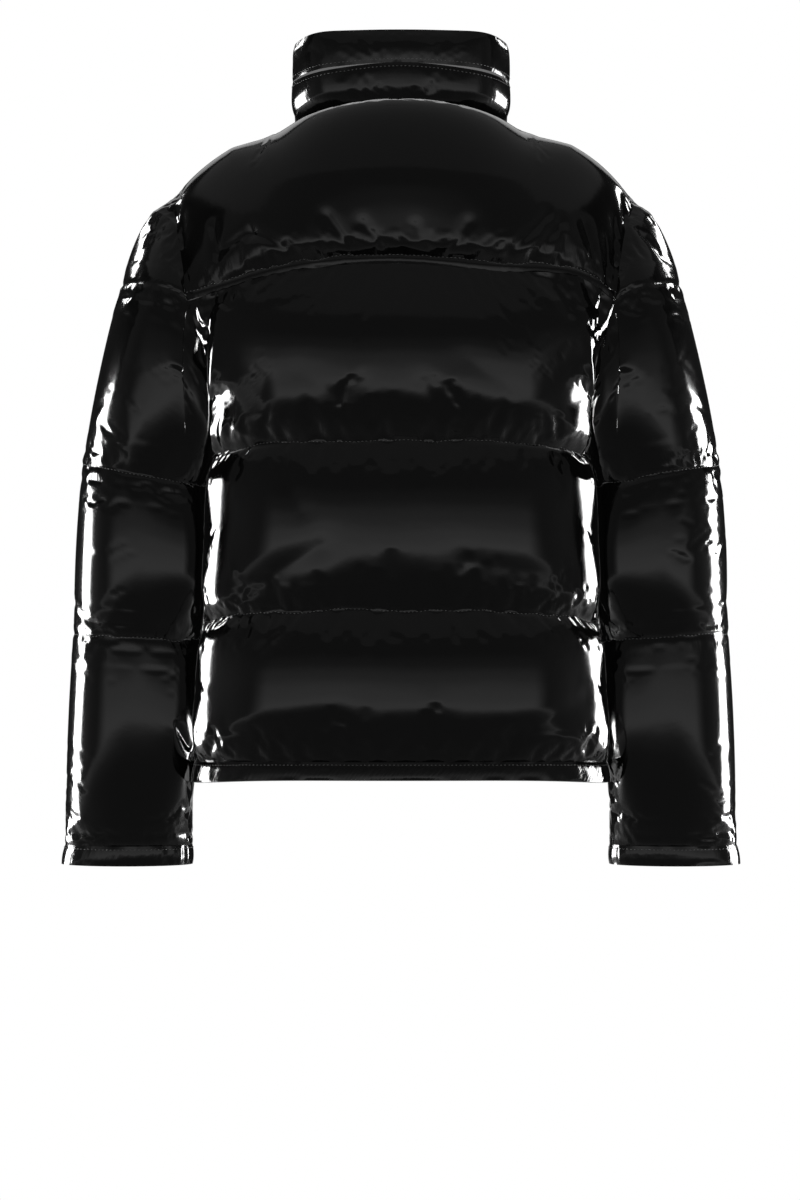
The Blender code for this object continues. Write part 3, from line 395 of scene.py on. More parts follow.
# ---- Seam lines on the wearer's left, or across the middle


def armhole_lines():
    loop = spline(ARMHOLE.values(), closed=True)
    half = len(loop) // 2
    return {
        "shoulder": part_of(loop[:half], ARMHOLE["back_corner"], ARMHOLE["front_shoulder"]),
        "chest": part_of(loop, ARMHOLE["front_shoulder"], ARMHOLE["front_corner"]),
        "front_scye": part_of(loop, ARMHOLE["front_corner"], ARMHOLE["underarm"]),
        "back_scye": part_of(loop[half:], ARMHOLE["back_corner"], ARMHOLE["underarm"]),
    }


def over_shoulder(armhole):
    """The armhole from its front corner over the shoulder to its back corner."""
    return np.concatenate([armhole["chest"][::-1], armhole["shoulder"][::-1][1:]])


def cap_line(armhole):
    over = over_shoulder(armhole)
    return spline([over[0], *CAP_SEAM, over[-1]])


def collar_lines(name):
    """A collar line from the nape to the yoke's corner, and from there to the zip."""
    points = np.array(COLLAR_LINES[name])
    line = spline([points[1] * MIRROR, *points, points[-2] * MIRROR])
    corner = points[YOKE_CORNER]
    return part_of(line, points[0], corner), part_of(line, corner, points[-1])


def front_yoke_line(armhole):
    return spline([armhole["shoulder"][-1], FRONT_YOKE_MIDDLE, COLLAR_LINES["neck"][YOKE_CORNER]])


def back_yoke_line(armhole):
    corner = armhole["shoulder"][0]
    return spline([corner, *BACK_YOKE_SEAM, corner * MIRROR])


def level(seam, side, turns):
    """Points of a level torso seam. The turn is 0 at the middle of the back or front."""
    row, power = TORSO[seam], 2 / SQUARENESS
    across = np.sign(np.sin(turns)) * np.abs(np.sin(turns)) ** power
    depth = np.maximum(np.cos(turns), 0.0) ** power * row[side]
    height = row["z"] - row["drop"] * np.abs(across) ** DROP_POWER
    return np.stack([row["half"] * across, depth if side == "back" else -depth, height], axis=1)


def back_level(seam):
    return level(seam, "back", math.pi / 2 * (1 - 2 * even(BACK_COLUMNS)))


def front_level(seam):
    """From the side to the middle."""
    return level(seam, "front", math.pi / 2 * (1 - even(FRONT_COLUMNS)))


def sleeve_turns():
    """How far round the sleeve each column stands, from the underarm round the front."""
    outside = 2 * math.pi - 2 * SCYE_TURN
    scye = SCYE_TURN * even(COLUMNS["scye"])
    over = SCYE_TURN + outside * even(COLUMNS["over"])
    back = 2 * math.pi - SCYE_TURN * (1 - even(COLUMNS["scye"]))
    return np.concatenate([scye, over[1:], back[1:]])


def sleeve_ring(name, turns):
    row = SLEEVE[name]
    x = row["x"] - row["half"] * np.cos(turns)
    y = row["y"] - row["deep"] * np.sin(turns)
    return np.stack([x, y, row["z"] - row["rise"] / 2 * np.cos(turns)], axis=1)


# ---- Surfaces between seams


def filled(top, bottom, left, right, fade=1):
    """Rows of points that fill four edges. Left and right run from top to bottom, and their curves reach less far
    into the middle with a higher fade."""
    u = even(len(top) - 1)[None, :, None]
    v = ((shares_of(left) + shares_of(right)) / 2)[:, None, None]
    grid = top * (1 - v) + bottom * v
    for side, edge, weight in ((left, 0, (1 - u) ** fade), (right, -1, u**fade)):
        grid = grid + (side[:, None] - top[edge] * (1 - v) - bottom[edge] * v) * weight
    grid[0], grid[-1], grid[:, 0], grid[:, -1] = top, bottom, left, right
    return grid


def softened(grid, rounds, fixed_columns=1):
    """The grid with its inner points drawn towards their neighbours, as cloth smooths a corner of its seams."""
    start = grid.copy()
    last = grid.shape[1] - fixed_columns
    inner = (slice(1, -1), slice(1, last))
    around = []
    for down, over in ((1, 0), (0, 1)):
        pair = [
            (slice(1 - down, grid.shape[0] - 1 - down), slice(1 - over, last - over)),
            (slice(1 + down, grid.shape[0] - 1 + down), slice(1 + over, last + over)),
        ]
        lengths = [np.linalg.norm(start[place] - start[inner], axis=2) for place in pair]
        around += [(place, 1 / (length * sum(lengths))) for place, length in zip(pair, lengths)]
    total = sum(share for _, share in around)
    for _ in range(rounds):
        grid[inner] = sum(grid[place] * share[..., None] for place, share in around) / total[..., None]
    return grid


def between(above, under, count):
    """Straight rows from one line to another."""
    v = even(count)[:, None, None]
    return above * (1 - v) + under * v


def stacked(*grids):
    """Grids one below the other, and the rows where they meet."""
    seams = np.cumsum([0, *(len(grid) - 1 for grid in grids)])
    return np.concatenate([grids[0], *(grid[1:] for grid in grids[1:])]), [int(row) for row in seams]


def normals_of(grid, ring=False):
    across = np.gradient(grid, axis=1)
    if ring:
        across[:, 0] = across[:, -1] = (grid[:, 1] - grid[:, -2]) / 2
    down = np.gradient(grid, axis=0)
    for edge, beside in ((0, 1), (-1, -2)):
        if np.allclose(grid[0, edge], grid[-1, edge]):
            down[:, edge] = down[:, beside]
    normal = np.cross(down, across)
    return normal / np.maximum(np.linalg.norm(normal, axis=2), 1e-12)[..., None]


# ---- Puffs


def crown(share, below=CROWN_POWER):
    """The profile of a puff from seam to seam, 0 at both and 1 in the middle, fuller below with a higher power."""
    return 1 - np.abs(2 * share - 1) ** np.where(share > 0.5, below, CROWN_POWER)


def ease(distance, reach):
    """0 at an edge, rising to 1 at the reach."""
    return 1 - (1 - np.clip(distance / reach, 0.0, 1.0)) ** 2


def smooth(share):
    """0 to 1 with a soft start and end."""
    share = np.clip(share, 0.0, 1.0)
    return share * share * (3 - 2 * share)


def soft_noise(random, shape, down, over):
    """Even noise, drawn out over this many cells down and across, with a spread of 1."""
    noise = random.standard_normal(shape)
    for axis, reach in ((0, down), (1, over)):
        steps = np.arange(-math.ceil(3 * reach), math.ceil(3 * reach) + 1)
        blur = np.exp(-0.5 * (steps / reach) ** 2)
        pad = [(0, 0), (0, 0)]
        pad[axis] = (len(steps) // 2, len(steps) // 2)
        noise = np.apply_along_axis(np.convolve, axis, np.pad(noise, pad, mode="wrap"), blur, "valid")
    return noise / noise.std()


class Panel:
    """A piece of the jacket: its grid, the rows that are stitched down and how high it may puff."""

    def __init__(self, name, grid, seams, ring=False, wall=CLOTH, slot="shell"):
        self.name, self.grid, self.seams, self.ring, self.slot = name, grid, seams, ring, slot
        self.normals = normals_of(grid, ring)
        self.walls = np.full(grid.shape[:2], wall)
        self.across = np.array([distances(row) for row in grid])
        self.down = np.array([distances(column) for column in grid.swapaxes(0, 1)]).T
        self.heights = np.zeros(grid.shape[:2])
        self.held = np.zeros(grid.shape[:2], bool)
        self.held[seams] = True
        self.gather = np.ones(grid.shape[:2])
        if not ring:
            self.held[:, 0] = self.held[:, -1] = True
        self.room = self.outer = None

    def shares(self):
        """How far down its puff each point lies, from 0 at one seam to 1 at the next."""
        found = np.zeros(self.grid.shape[:2])
        for first, last in zip(self.seams, self.seams[1:]):
            span = np.maximum(self.down[last] - self.down[first], 1e-9)
            found[first : last + 1] = (self.down[first : last + 1] - self.down[first]) / span
        return found

    def off_seam(self):
        """The distance down or up to the nearest stitched row."""
        gaps = [np.abs(self.down - self.down[row]) for row in self.seams]
        return np.min(gaps, axis=0)

    def from_side(self):
        """The distance along the row to the nearer side edge."""
        return np.minimum(self.across, self.across[:, -1:] - self.across)

    def from_edges(self, left, right):
        """0 at the side edges, rising to 1 within these reaches."""
        return ease(self.across, left) * ease(self.across[:, -1:] - self.across, right)

    def room_for(self, kind):
        edge, more, reach = ROOM[kind]
        return edge + more * self.from_edges(reach, reach)

    def wrinkle(self, seed, gathers, waves):
        """Start the gathers beside the seams and slow waves in between, from noise with this seed."""
        random = np.random.default_rng(seed)
        shape = self.grid.shape[:2]
        off = self.off_seam()
        fine = soft_noise(random, shape, *NOISE["fine"]) * gathers * np.exp(-((off / 0.020) ** 2))
        long = soft_noise(random, shape, *NOISE["long"]) * waves * np.exp(-((off / 0.055) ** 2))
        slow = soft_noise(random, shape, *NOISE["slow"]) * waves / 2
        bump = np.where(self.held, 0.0, (fine + long) * self.gather + slow)
        if self.ring:
            blend = np.clip(np.arange(shape[1]) / 6, 0, 1)
            bump = bump * blend * blend[::-1]
        self.heights = self.heights + bump

    def raised(self):
        """The outer points before the filling goes in."""
        return self.grid + self.normals * self.heights[..., None]


def opposite(panel):
    """The same piece on the wearer's right, before its wrinkles."""
    name = panel.name.replace("left", "right")
    made = Panel(name, mirrored(panel.grid[:, ::-1]), panel.seams, panel.ring, slot=panel.slot)
    made.walls, made.heights, made.room = panel.walls[:, ::-1], panel.heights[:, ::-1], panel.room[:, ::-1]
    made.held, made.gather = panel.held[:, ::-1], panel.gather[:, ::-1]
    return made


# ---- The pieces


def torso_heights(panel, puffs, edges, sink=1.0):
    """Round puffs across the body, flatter and straighter where it turns to the sides. The first may sink lower."""
    turned = np.abs(panel.normals[..., 0])
    facing = smooth((SIDE["end"] - turned) / SIDE["fade"])
    side = smooth((turned - SIDE["start"]) / SIDE["span"])
    share = panel.shares()
    share[: panel.seams[1]] **= sink
    rows = np.diff([0, *panel.seams[1:-1], len(share)])
    high, below = (np.repeat(values, rows)[:, None] for values in zip(*puffs))
    round_puffs = high * crown(share, below) * (1 - side)
    beside = SIDE["puff"] + SIDE["share"] * np.maximum(high - BACK_PUFFS[1][0], 0.0)
    panel.heights = round_puffs + beside * (1 - np.abs(2 * share - 1) ** SIDE["power"]) * side
    panel.heights *= panel.from_edges(*edges) * facing
    edge, more, reach = ROOM["torso"]
    panel.room = edge + more * panel.from_edges(reach, reach) * facing * (1 - SIDE["tight"] * side)
    ends = np.exp(-((panel.from_side() / TORSO_ENDS["reach"]) ** 2))
    panel.gather = GATHERS["torso"] + TORSO_ENDS["more"] * ends


def with_flange(grid):
    """The yoke's rows moved so that the last few lie in the folded flange along its lower edge."""
    rows = len(grid) - 1
    for c in range(grid.shape[1]):
        column = grid[:, c]
        length = distances(column)[-1]
        height = min(FLANGE["height"], length / 4)
        puff = np.linspace(0.0, 1 - height / length, rows - FLANGE["rows"] + 1)
        flange = np.linspace(1 - height / length, 1.0, FLANGE["rows"] + 1)
        grid[:, c] = at_shares(column, np.concatenate([puff, flange[1:]]))
    return grid


def cut_back_yoke(armhole):
    neck, _ = collar_lines("neck")
    front = front_yoke_line(armhole)
    side = COLUMNS["yoke_front"]
    half_neck = COLUMNS["yoke_neck"] // 2
    top = sampled(
        (front, side), (neck[::-1], half_neck), (mirrored(neck), half_neck), (mirrored(front)[::-1], side)
    )
    left = at_shares(armhole["shoulder"][::-1], even(ROWS["yoke"]))
    bottom = at_shares(back_yoke_line(armhole), even(BACK_COLUMNS))
    grid = with_flange(softened(filled(top, bottom, left, mirrored(left)), SOFTENING["back_yoke"]))
    panel = Panel("back_yoke", grid, [0, ROWS["yoke"] - FLANGE["rows"], ROWS["yoke"]])
    off_neck = np.maximum(np.abs(np.arange(BACK_COLUMNS + 1) - BACK_COLUMNS / 2) - half_neck, 0.0)
    lean = NECK_LEAN["beside"] * np.maximum(1 - off_neck / NECK_LEAN["columns"], 0.0)
    sides = panel.from_edges(YOKE_EASE, YOKE_EASE)
    share = panel.shares()
    sag = YOKE_SAG["depth"] * np.clip((share - YOKE_SAG["from"]) / (1 - YOKE_SAG["from"]), 0.0, 1.0) ** 2
    panel.heights = sides * (YOKE_PUFF * crown(share ** (1 + lean), YOKE_POWER) - sag * (1 - share**20))
    panel.room = panel.room_for("back_yoke")
    panel.gather = GATHERS["back_yoke"] * share
    flange = slice(-FLANGE["rows"] - 1, None)
    fold = np.sin(np.pi * np.array(FLANGE_TURNS))[:, None]
    panel.heights[flange] = np.minimum(FLANGE["rise"] * fold, panel.from_side()[flange] / 4)
    panel.held[flange] = True
    return panel


def scye_edge(scye, corner):
    """The side edge of the puff below the yoke: the lower armhole and the start of the side seam."""
    return sampled((scye, ROWS["scye"]), (np.array([scye[-1], corner]), ROWS["side"]))


def cut_back_panel(armhole):
    line_1, line_2, hem_line = (back_level(name) for name in ("line_1", "line_2", "hem_line"))
    left = scye_edge(armhole["back_scye"], line_1[0])
    top = at_shares(back_yoke_line(armhole), even(BACK_COLUMNS))
    upper = softened(filled(top, line_1, left, mirrored(left), 4), SOFTENING["back"])
    grid, seams = stacked(upper, between(line_1, line_2, ROWS["back"]), between(line_2, hem_line, ROWS["hem"]))
    panel = Panel("back_panel", grid, seams)
    torso_heights(panel, BACK_PUFFS, (SEAM_EASE / 2, SEAM_EASE / 2), BLADE_SINK)
    return panel


def cut_front_left(armhole):
    _, neck = collar_lines("neck")
    top = sampled((front_yoke_line(armhole), COLUMNS["front_yoke"]), (neck, COLUMNS["front_neck"]))
    chest = at_shares(spline([armhole["chest"][-1], *FRONT_CHEST_SEAM]), even(FRONT_COLUMNS))
    middle = at_shares(spline([neck[-1], FRONT_NECK_TO_CHEST, chest[-1]]), even(ROWS["front_chest"]))
    side = at_shares(armhole["chest"], even(ROWS["front_chest"]))
    upper = softened(filled(top, chest, side, middle), SOFTENING["front"], STRAIGHT_COLUMNS)
    line_1, line_2, hem_line = (front_level(name) for name in ("line_1", "line_2", "hem_line"))
    side = scye_edge(armhole["front_scye"], line_1[0])
    middle = at_shares(np.array([chest[-1], line_1[-1]]), even(len(side) - 1))
    lower = softened(filled(chest, line_1, side, middle), SOFTENING["front"], STRAIGHT_COLUMNS)
    grid, seams = stacked(
        upper, lower, between(line_1, line_2, ROWS["back"]), between(line_2, hem_line, ROWS["hem"])
    )
    grid = grid[:, ::-1].copy()
    grid[:, 0, 0] += ZIP_HALF
    beside = np.arange(1, STRAIGHT_COLUMNS)
    grid[:, beside, 0] = np.maximum(grid[:, beside, 0], ZIP_HALF + 0.001 * beside)
    panel = Panel("front_left", grid, seams)
    torso_heights(panel, FRONT_PUFFS, (ZIP_EASE, SEAM_EASE))
    return panel


def cut_cap_left(armhole):
    over = at_shares(over_shoulder(armhole), even(COLUMNS["cap"]))
    grid = between(over, at_shares(cap_line(armhole), even(COLUMNS["cap"])), ROWS["cap"])
    panel = Panel("sleeve_cap_left", grid, [0, ROWS["cap"]])
    ends = panel.from_edges(SEAM_EASE, SEAM_EASE)
    panel.heights = ends * CAP_PUFF * crown(panel.shares())
    panel.room = panel.room_for("sleeve_cap")
    panel.gather[:] = GATHERS["sleeve_cap"]
    return panel


def cut_sleeve_left(armhole):
    loop = sampled(
        (armhole["front_scye"][::-1], COLUMNS["scye"]),
        (cap_line(armhole), COLUMNS["over"]),
        (armhole["back_scye"], COLUMNS["scye"]),
    )
    turns = sleeve_turns()
    elbow, forearm, hem_level, cuff_line = (
        sleeve_ring(name, turns) for name in ("elbow", "forearm", "hem_level", "cuff_line")
    )
    lower = [at_shares(spline(points), even(ROWS["cuff"])) for points in zip(forearm, hem_level, cuff_line)]
    grid, seams = stacked(
        between(loop, elbow, ROWS["upper_sleeve"]),
        between(elbow, forearm, ROWS["sleeve"]),
        np.array(lower).swapaxes(0, 1),
    )
    grid[:, -1] = grid[:, 0]
    panel = Panel("sleeve_left", grid, seams, ring=True)
    face = np.sin(turns) ** 2
    end = np.where(np.cos(turns) > 0, SLEEVE_PUFF["inner"], SLEEVE_PUFF["outer"])
    corner = np.where((np.cos(turns) > 0) & (np.sin(turns) < 0), np.sin(2 * turns) ** 2, 0.0)
    full = SLEEVE_PUFF["face"] * face + end * (1 - face) + SLEEVE_PUFF["corner"] * corner
    panel.heights = full * crown(panel.shares())
    outward = np.clip(0.5 - np.cos(turns), 0.0, 1.0)
    room = SLEEVE_ROOM["edge"] + (SLEEVE_ROOM["face"] * face + SLEEVE_ROOM["outer"] * outward)
    panel.room = room * np.ones((len(grid), 1))
    panel.gather[:] = GATHERS["sleeve"]
    return panel


def cut_band(name, upper, lower, ring=False):
    panel = Panel(name, between(upper, lower, ROWS["band"]), [0, ROWS["band"]], ring, BINDING, "trim")
    panel.heights = BAND_PUFF * crown(panel.shares())
    panel.room = np.full(panel.heights.shape, BAND_ROOM)
    return panel


def cut_hem_band():
    rows = []
    for seam in ("hem_line", "hem_edge"):
        front = front_level(seam)
        rows.append(np.concatenate([front[::-1], back_level(seam)[1:], mirrored(front)[1:]]))
        rows[-1][0, 0], rows[-1][-1, 0] = ZIP_HALF, -ZIP_HALF
    return cut_band("hem_band", *rows)


def cut_cuff_left():
    turns = sleeve_turns()
    return cut_band("cuff_left", sleeve_ring("cuff_line", turns), sleeve_ring("cuff_edge", turns), True)


def collar_line(name):
    """From the zip on the wearer's left round the nape to the zip on the right."""
    back, front = collar_lines(name)
    half = sampled((back, COLUMNS["collar_back"]), (front, COLUMNS["collar_front"]))
    line = np.concatenate([half[::-1], mirrored(half)[1:]])
    line[0, 0], line[-1, 0] = ZIP_HALF, -ZIP_HALF
    return line


def cut_collar(name, upper, lower, profile):
    """A band of the stand collar. Beside the zip and at the neck seam its padding is pressed flat."""
    panel = Panel(name, between(collar_line(upper), collar_line(lower), ROWS["collar"]), [0, ROWS["collar"]])
    full = panel.from_edges(ZIP_EASE / 2, ZIP_EASE / 2)
    backward = panel.normals[..., 1]
    corner = np.abs(2 * panel.normals[..., 0] * backward) ** 3 * (backward > 0)
    turned = np.abs(panel.normals[..., 0])
    flat = 1 - COLLAR_FLAT["by"] * smooth((turned - COLLAR_FLAT["start"]) / COLLAR_FLAT["span"])
    upright = 1 - panel.shares() ** 5 * (lower == "neck")
    panel.heights = (profile(panel.shares()) * flat + COLLAR_CORNER * corner * upright) * full
    pad = (COLLAR_PAD - CLOTH) * full
    if lower == "neck":
        pad = pad * np.clip((1 - panel.shares()) * 3, 0.0, 1.0)
    panel.walls = CLOTH + pad
    panel.room = panel.room_for("collar")
    panel.gather[:] = GATHERS["collar"]
    return panel


def upright_profile(share):
    """The lower band stands upright and turns in just above the neck seam."""
    return COLLAR_PUFF * crown(share) + COLLAR_TUCK["lower"] * share * (1 - share**14)


def roll_profile(share):
    """The rounded top edge of the collar."""
    return COLLAR_PUFF * crown(share) - COLLAR_TUCK["upper"] * np.exp(-((share / COLLAR_TUCK["over"]) ** 2))


# ---- Filling: Blender's cloth blows each piece up while its seams hold


def welded(points):
    """For each point, the index of the vertex it shares with the points at the same place."""
    keys = np.round(points.reshape(-1, 3) * 1e6).astype(np.int64)
    _, first, index = np.unique(keys, axis=0, return_index=True, return_inverse=True)
    return first, index.reshape(-1)


def grid_faces(rows, columns):
    places = np.arange(rows * columns).reshape(rows, columns)
    corners = (places[:-1, :-1], places[1:, :-1], places[1:, 1:], places[:-1, 1:])
    return np.stack(corners, axis=-1).reshape(-1, 4)


def without_repeats(face):
    return [int(v) for i, v in enumerate(face) if v != face[i - 1]]


def new_object(name, mesh):
    made = bpy.data.objects.new(name, mesh)
    bpy.context.scene.collection.objects.link(made)
    return made


def only_select(made):
    bpy.ops.object.select_all(action="DESELECT")
    made.select_set(True)
    bpy.context.view_layer.objects.active = made


def cloth_object(panel, sizes):
    """The piece's outer cloth with a Cloth modifier: seams held, gathers near them, pressure from inside."""
    points = panel.raised()
    first, index = welded(points)
    faces = [without_repeats(face) for face in index[grid_faces(*points.shape[:2])]]
    mesh = bpy.data.meshes.new("filling")
    mesh.from_pydata(points.reshape(-1, 3)[first].tolist(), [], [face for face in faces if len(face) > 2])
    made = new_object("filling", mesh)
    held = made.vertex_groups.new(name="held")
    held.add(sorted({int(i) for i in index[panel.held.reshape(-1)]}), 1.0, "REPLACE")
    taut = made.vertex_groups.new(name="taut")
    near = np.exp(-((panel.off_seam() / sizes.gather_reach) ** 2))
    share = (1 - panel.gather * near).reshape(-1)
    for tenths in range(11):
        places = index[np.round(share * 10) == tenths]
        taut.add([int(i) for i in np.unique(places)], tenths / 10, "REPLACE")
    settings = made.modifiers.new("Cloth", "CLOTH").settings
    for name, value in CLOTH_SETTINGS.items():
        setattr(settings, name, value)
    settings.bending_stiffness = sizes.stiffness
    settings.uniform_pressure_force = sizes.pressure
    settings.effector_weights.gravity = 0
    settings.shrink_min, settings.shrink_max = -sizes.gather, -sizes.spare
    return made, index


def capped(panel, points):
    """The filled points, kept within the room that the piece has."""
    offset = points - panel.grid
    height = (offset * panel.normals).sum(axis=2)
    aside = offset - panel.normals * height[..., None]
    top = panel.heights + panel.room
    start = top - panel.room / 2
    over = np.maximum(height - start, 0.0)
    height = np.where(over > 0, start + panel.room / 2 * (1 - np.exp(-2 * over / panel.room)), height)
    height = np.maximum(height, SLACK["low"] * panel.heights - SLACK["below"])
    reach = np.linalg.norm(aside, axis=2)
    aside = aside * np.minimum(1.0, SLACK["aside"] / np.maximum(reach, 1e-9))[..., None]
    return panel.grid + aside + panel.normals * height[..., None]


def fill(panels):
    """Blow the pieces up together, and keep their outer points."""
    made = [(panel, *cloth_object(panel, bpy.context.scene.jacket_sizes)) for panel in panels]
    for number in range(1, FRAMES + 1):
        bpy.context.scene.frame_set(number)
    for panel, cloth, index in made:
        only_select(cloth)
        bpy.ops.object.modifier_apply(modifier="Cloth")
        points = np.zeros(len(cloth.data.vertices) * 3)
        cloth.data.vertices.foreach_get("co", points)
        panel.outer = capped(panel, points.reshape(-1, 3)[index].reshape(panel.grid.shape))
        bpy.data.objects.remove(cloth)
    bpy.context.scene.frame_set(1)


# ---- Walls


def doubled(values, axis, ring=False):
    """Values with a new one in the middle of each pair along an axis, on a smooth curve through them."""
    rows = np.moveaxis(values, axis, 0)
    before = rows[-2:-1] if ring else 2 * rows[:1] - rows[1:2]
    after = rows[1:2] if ring else 2 * rows[-1:] - rows[-2:-1]
    wide = np.concatenate([before, rows, after])
    middle = (9 * (wide[1:-2] + wide[2:-1]) - wide[:-3] - wide[3:]) / 16
    found = np.empty((2 * len(rows) - 1, *rows.shape[1:]))
    found[::2], found[1::2] = rows, middle
    return np.moveaxis(found, 0, axis)


def refined(values, panel):
    """Double a grid of values both ways, seam by seam so that each seam keeps its crease."""
    wide = doubled(values, 1, panel.ring)
    parts = [doubled(wide[a : b + 1], 0) for a, b in zip(panel.seams, panel.seams[1:])]
    return np.concatenate([parts[0], *(part[1:] for part in parts[1:])])


def folds_of(panel, place, normals):
    """How deep the listed folds press into the back, at each fine point."""
    pressed = np.zeros(place.shape[:2])
    for *places, width, depth in FOLDS.get(panel.name, ()):
        start, line = np.array(places[:2]), np.array(places[2:]) - places[:2]
        from_start = place[..., (0, 2)] - start
        along = np.clip(from_start @ line / (line @ line), 0.0, 1.0)
        off = np.linalg.norm(from_start - along[..., None] * line, axis=2) / width
        pressed += depth * np.maximum(normals[..., 1], 0.0) * np.exp(-(off**1.6))
    return pressed


def pleats_of(panel, cut, seams, random):
    """How deep pleats press in: each is widest and deepest at its seam, and ends in a point."""
    pressed = np.zeros(cut.shape[:2])
    across, down = cut[..., 0], cut[..., 1]
    across = across - across[:, across.shape[1] // 2][:, None]
    for seam, side, *sizes, middle in named(PLEATS, panel, ()):
        spacing, shortest, longest, narrowest, widest, depth = in_metres(sizes)
        row = seams[seam]
        place, last = across[row, 0], across[row, -1]
        off = (down - down[row]) * side
        while True:
            place += spacing * random.uniform(PLEAT["closest"], 2 - PLEAT["closest"])
            length = random.uniform(shortest, longest)
            wide = random.uniform(narrowest, widest)
            lean = random.uniform(-1, 1) * PLEAT["lean"]
            share = random.uniform(PLEAT["weakest"], 1.0)
            if place > last:
                break
            edge = min(place - across[row, 0], last - place)
            share *= middle + (1 - middle) * math.exp(-((edge / PLEAT["reach"]) ** 2))
            left = np.clip(1 - off / (length * (0.5 + share / 2)), 0.0, 1.0) * (off > 0)
            aside = (across - place - lean * off) / (wide * left**0.8 + 0.0008)
            trough = np.exp(-(aside**2)) - PLEAT["ridge"] * np.exp(-((aside / PLEAT["spread"]) ** 2))
            pressed += depth * share * left**1.2 * trough
    if panel.ring:
        blend = np.clip(np.arange(across.shape[1]) / 12, 0, 1)
        pressed *= blend * blend[::-1]
    return pressed


def strayed(fine, cut, seams, random):
    """The fine points with each quilting line a little uneven, as a hand-fed machine sews it."""
    along = np.gradient(fine, axis=0)
    along /= np.maximum(np.linalg.norm(along, axis=2), 1e-9)[..., None]
    for row in seams[1:-1]:
        size = (1, fine.shape[1])
        aside = SEAM_WIGGLE["fine"] * soft_noise(random, size, 0.1, 1.2)[0]
        aside += SEAM_WIGGLE["slow"] * soft_noise(random, size, 0.1, 5.0)[0]
        ends = np.clip(np.arange(len(aside)) / 8, 0, 1)
        aside *= ends * ends[::-1]
        near = np.exp(-(((cut[..., 1] - cut[row, :, 1]) / SEAM_WIGGLE["reach"]) ** 2))
        fine = fine + along * (aside * near)[..., None]
    return fine


def creased(panel, fine, cut):
    """The fine outer cloth with its pleats and folds pressed in."""
    normals = refined(panel.normals, panel)
    seams = [2 * row for row in panel.seams]
    random = np.random.default_rng(sum(panel.name.encode()))
    fine = strayed(fine, cut, seams, random)
    pressed = pleats_of(panel, cut, seams, random) + folds_of(panel, refined(panel.grid, panel), normals)
    off = np.min([np.abs(cut[..., 1] - cut[row, :, 1]) for row in seams], axis=0)
    pressed *= 1 - np.exp(-((off / PLEAT["start"]) ** 2))
    if not panel.ring:
        side = np.minimum(cut[..., 0], cut[:, -1:, 0] - cut[..., 0])
        pressed *= 1 - np.exp(-((side / PLEAT["start"]) ** 2))
    if panel.name == "back_yoke":
        pressed[seams[1] :] = 0.0
    return fine - normals * pressed[..., None]


def rim_faces(outer, inner):
    """Faces between a fine outer edge and a coarse inner one, both lists of places."""
    step = (len(outer) - 1) // (len(inner) - 1)
    for i, (a, b) in enumerate(zip(inner, inner[1:])):
        yield [a, b, *outer[i * step : (i + 1) * step + 1][::-1]]


def build_wall(panel):
    """The piece's closed mesh: filled outside, plain inside, with its cut's coordinates as the UV map."""
    cut = refined(np.stack([panel.across, panel.down], axis=-1), panel)
    fine = creased(panel, refined(panel.outer, panel), cut)
    panel.fine = fine
    rows, columns = fine.shape[:2]
    coarse = slice(None, None, 2)
    inside = (panel.grid - panel.normals * panel.walls[..., None])[coarse, coarse]
    points = np.concatenate([fine.reshape(-1, 3), inside.reshape(-1, 3)])
    uv = np.concatenate([cut.reshape(-1, 2), cut[::4, ::4].reshape(-1, 2)])
    off = np.concatenate([refined(panel.off_seam()[..., None], panel).reshape(-1), np.full(inside[..., 0].size, 1.0)])
    outer_at = np.arange(rows * columns).reshape(rows, columns)
    inner_at = rows * columns + np.arange(inside[..., 0].size).reshape(inside.shape[:2])
    outside = [list(face) for face in grid_faces(rows, columns)]
    lining = [list(face[::-1] + rows * columns) for face in grid_faces(*inside.shape[:2])]
    rims = [*rim_faces(outer_at[0], inner_at[0])]
    rims += [face[::-1] for face in rim_faces(outer_at[-1], inner_at[-1])]
    if not panel.ring:
        rims += [face[::-1] for face in rim_faces(outer_at[:, 0], inner_at[:, 0])]
        rims += [*rim_faces(outer_at[:, -1], inner_at[:, -1])]
    first, index = welded(points)
    faces, corners, kinds = [], [], []
    for kind, group in ((0, outside), (1, lining), (0, rims)):
        for face in group:
            kept = [v for i, v in enumerate(face) if index[v] != index[face[i - 1]]]
            if len(kept) > 2:
                faces.append([int(index[v]) for v in kept])
                corners += kept
                kinds.append(kind)
    mesh = bpy.data.meshes.new(panel.name)
    mesh.from_pydata(points[first].tolist(), [], faces)
    mesh.uv_layers.new(name="cut").data.foreach_set("uv", uv[corners].reshape(-1))
    mesh.attributes.new("off_seam", "FLOAT", "POINT").data.foreach_set("value", off[first])
    mesh.materials.append(bpy.data.materials["coated_nylon"])
    mesh.materials.append(bpy.data.materials["plain_lining"])
    mesh.polygons.foreach_set("material_index", kinds)
    mesh.polygons.foreach_set("use_smooth", [True] * len(faces))
    mesh.validate()
    made = new_object(panel.name + "_cloth", mesh)
    only_select(made)
    bpy.ops.object.shade_smooth_by_angle(angle=math.radians(60))
    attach(made, "jacket")
    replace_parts(made, panel.name)
    PANELS[panel.name] = panel
    return made


def sew(panels, seed, filled=True):
    """Wrinkle the pieces, fill them together and build their walls."""
    for number, panel in enumerate(panels, seed):
        panel.wrinkle(number, *named(WRINKLES, panel))
        panel.outer = panel.raised()
    if filled:
        fill(panels)
    for panel in panels:
        # Seams and neighbours would otherwise mirror the black back, sleeves and collar, and be black themselves.
        build_wall(panel).visible_glossy = panel.name.startswith(("front", "hem_band", "cuff"))


# ---- Stitches


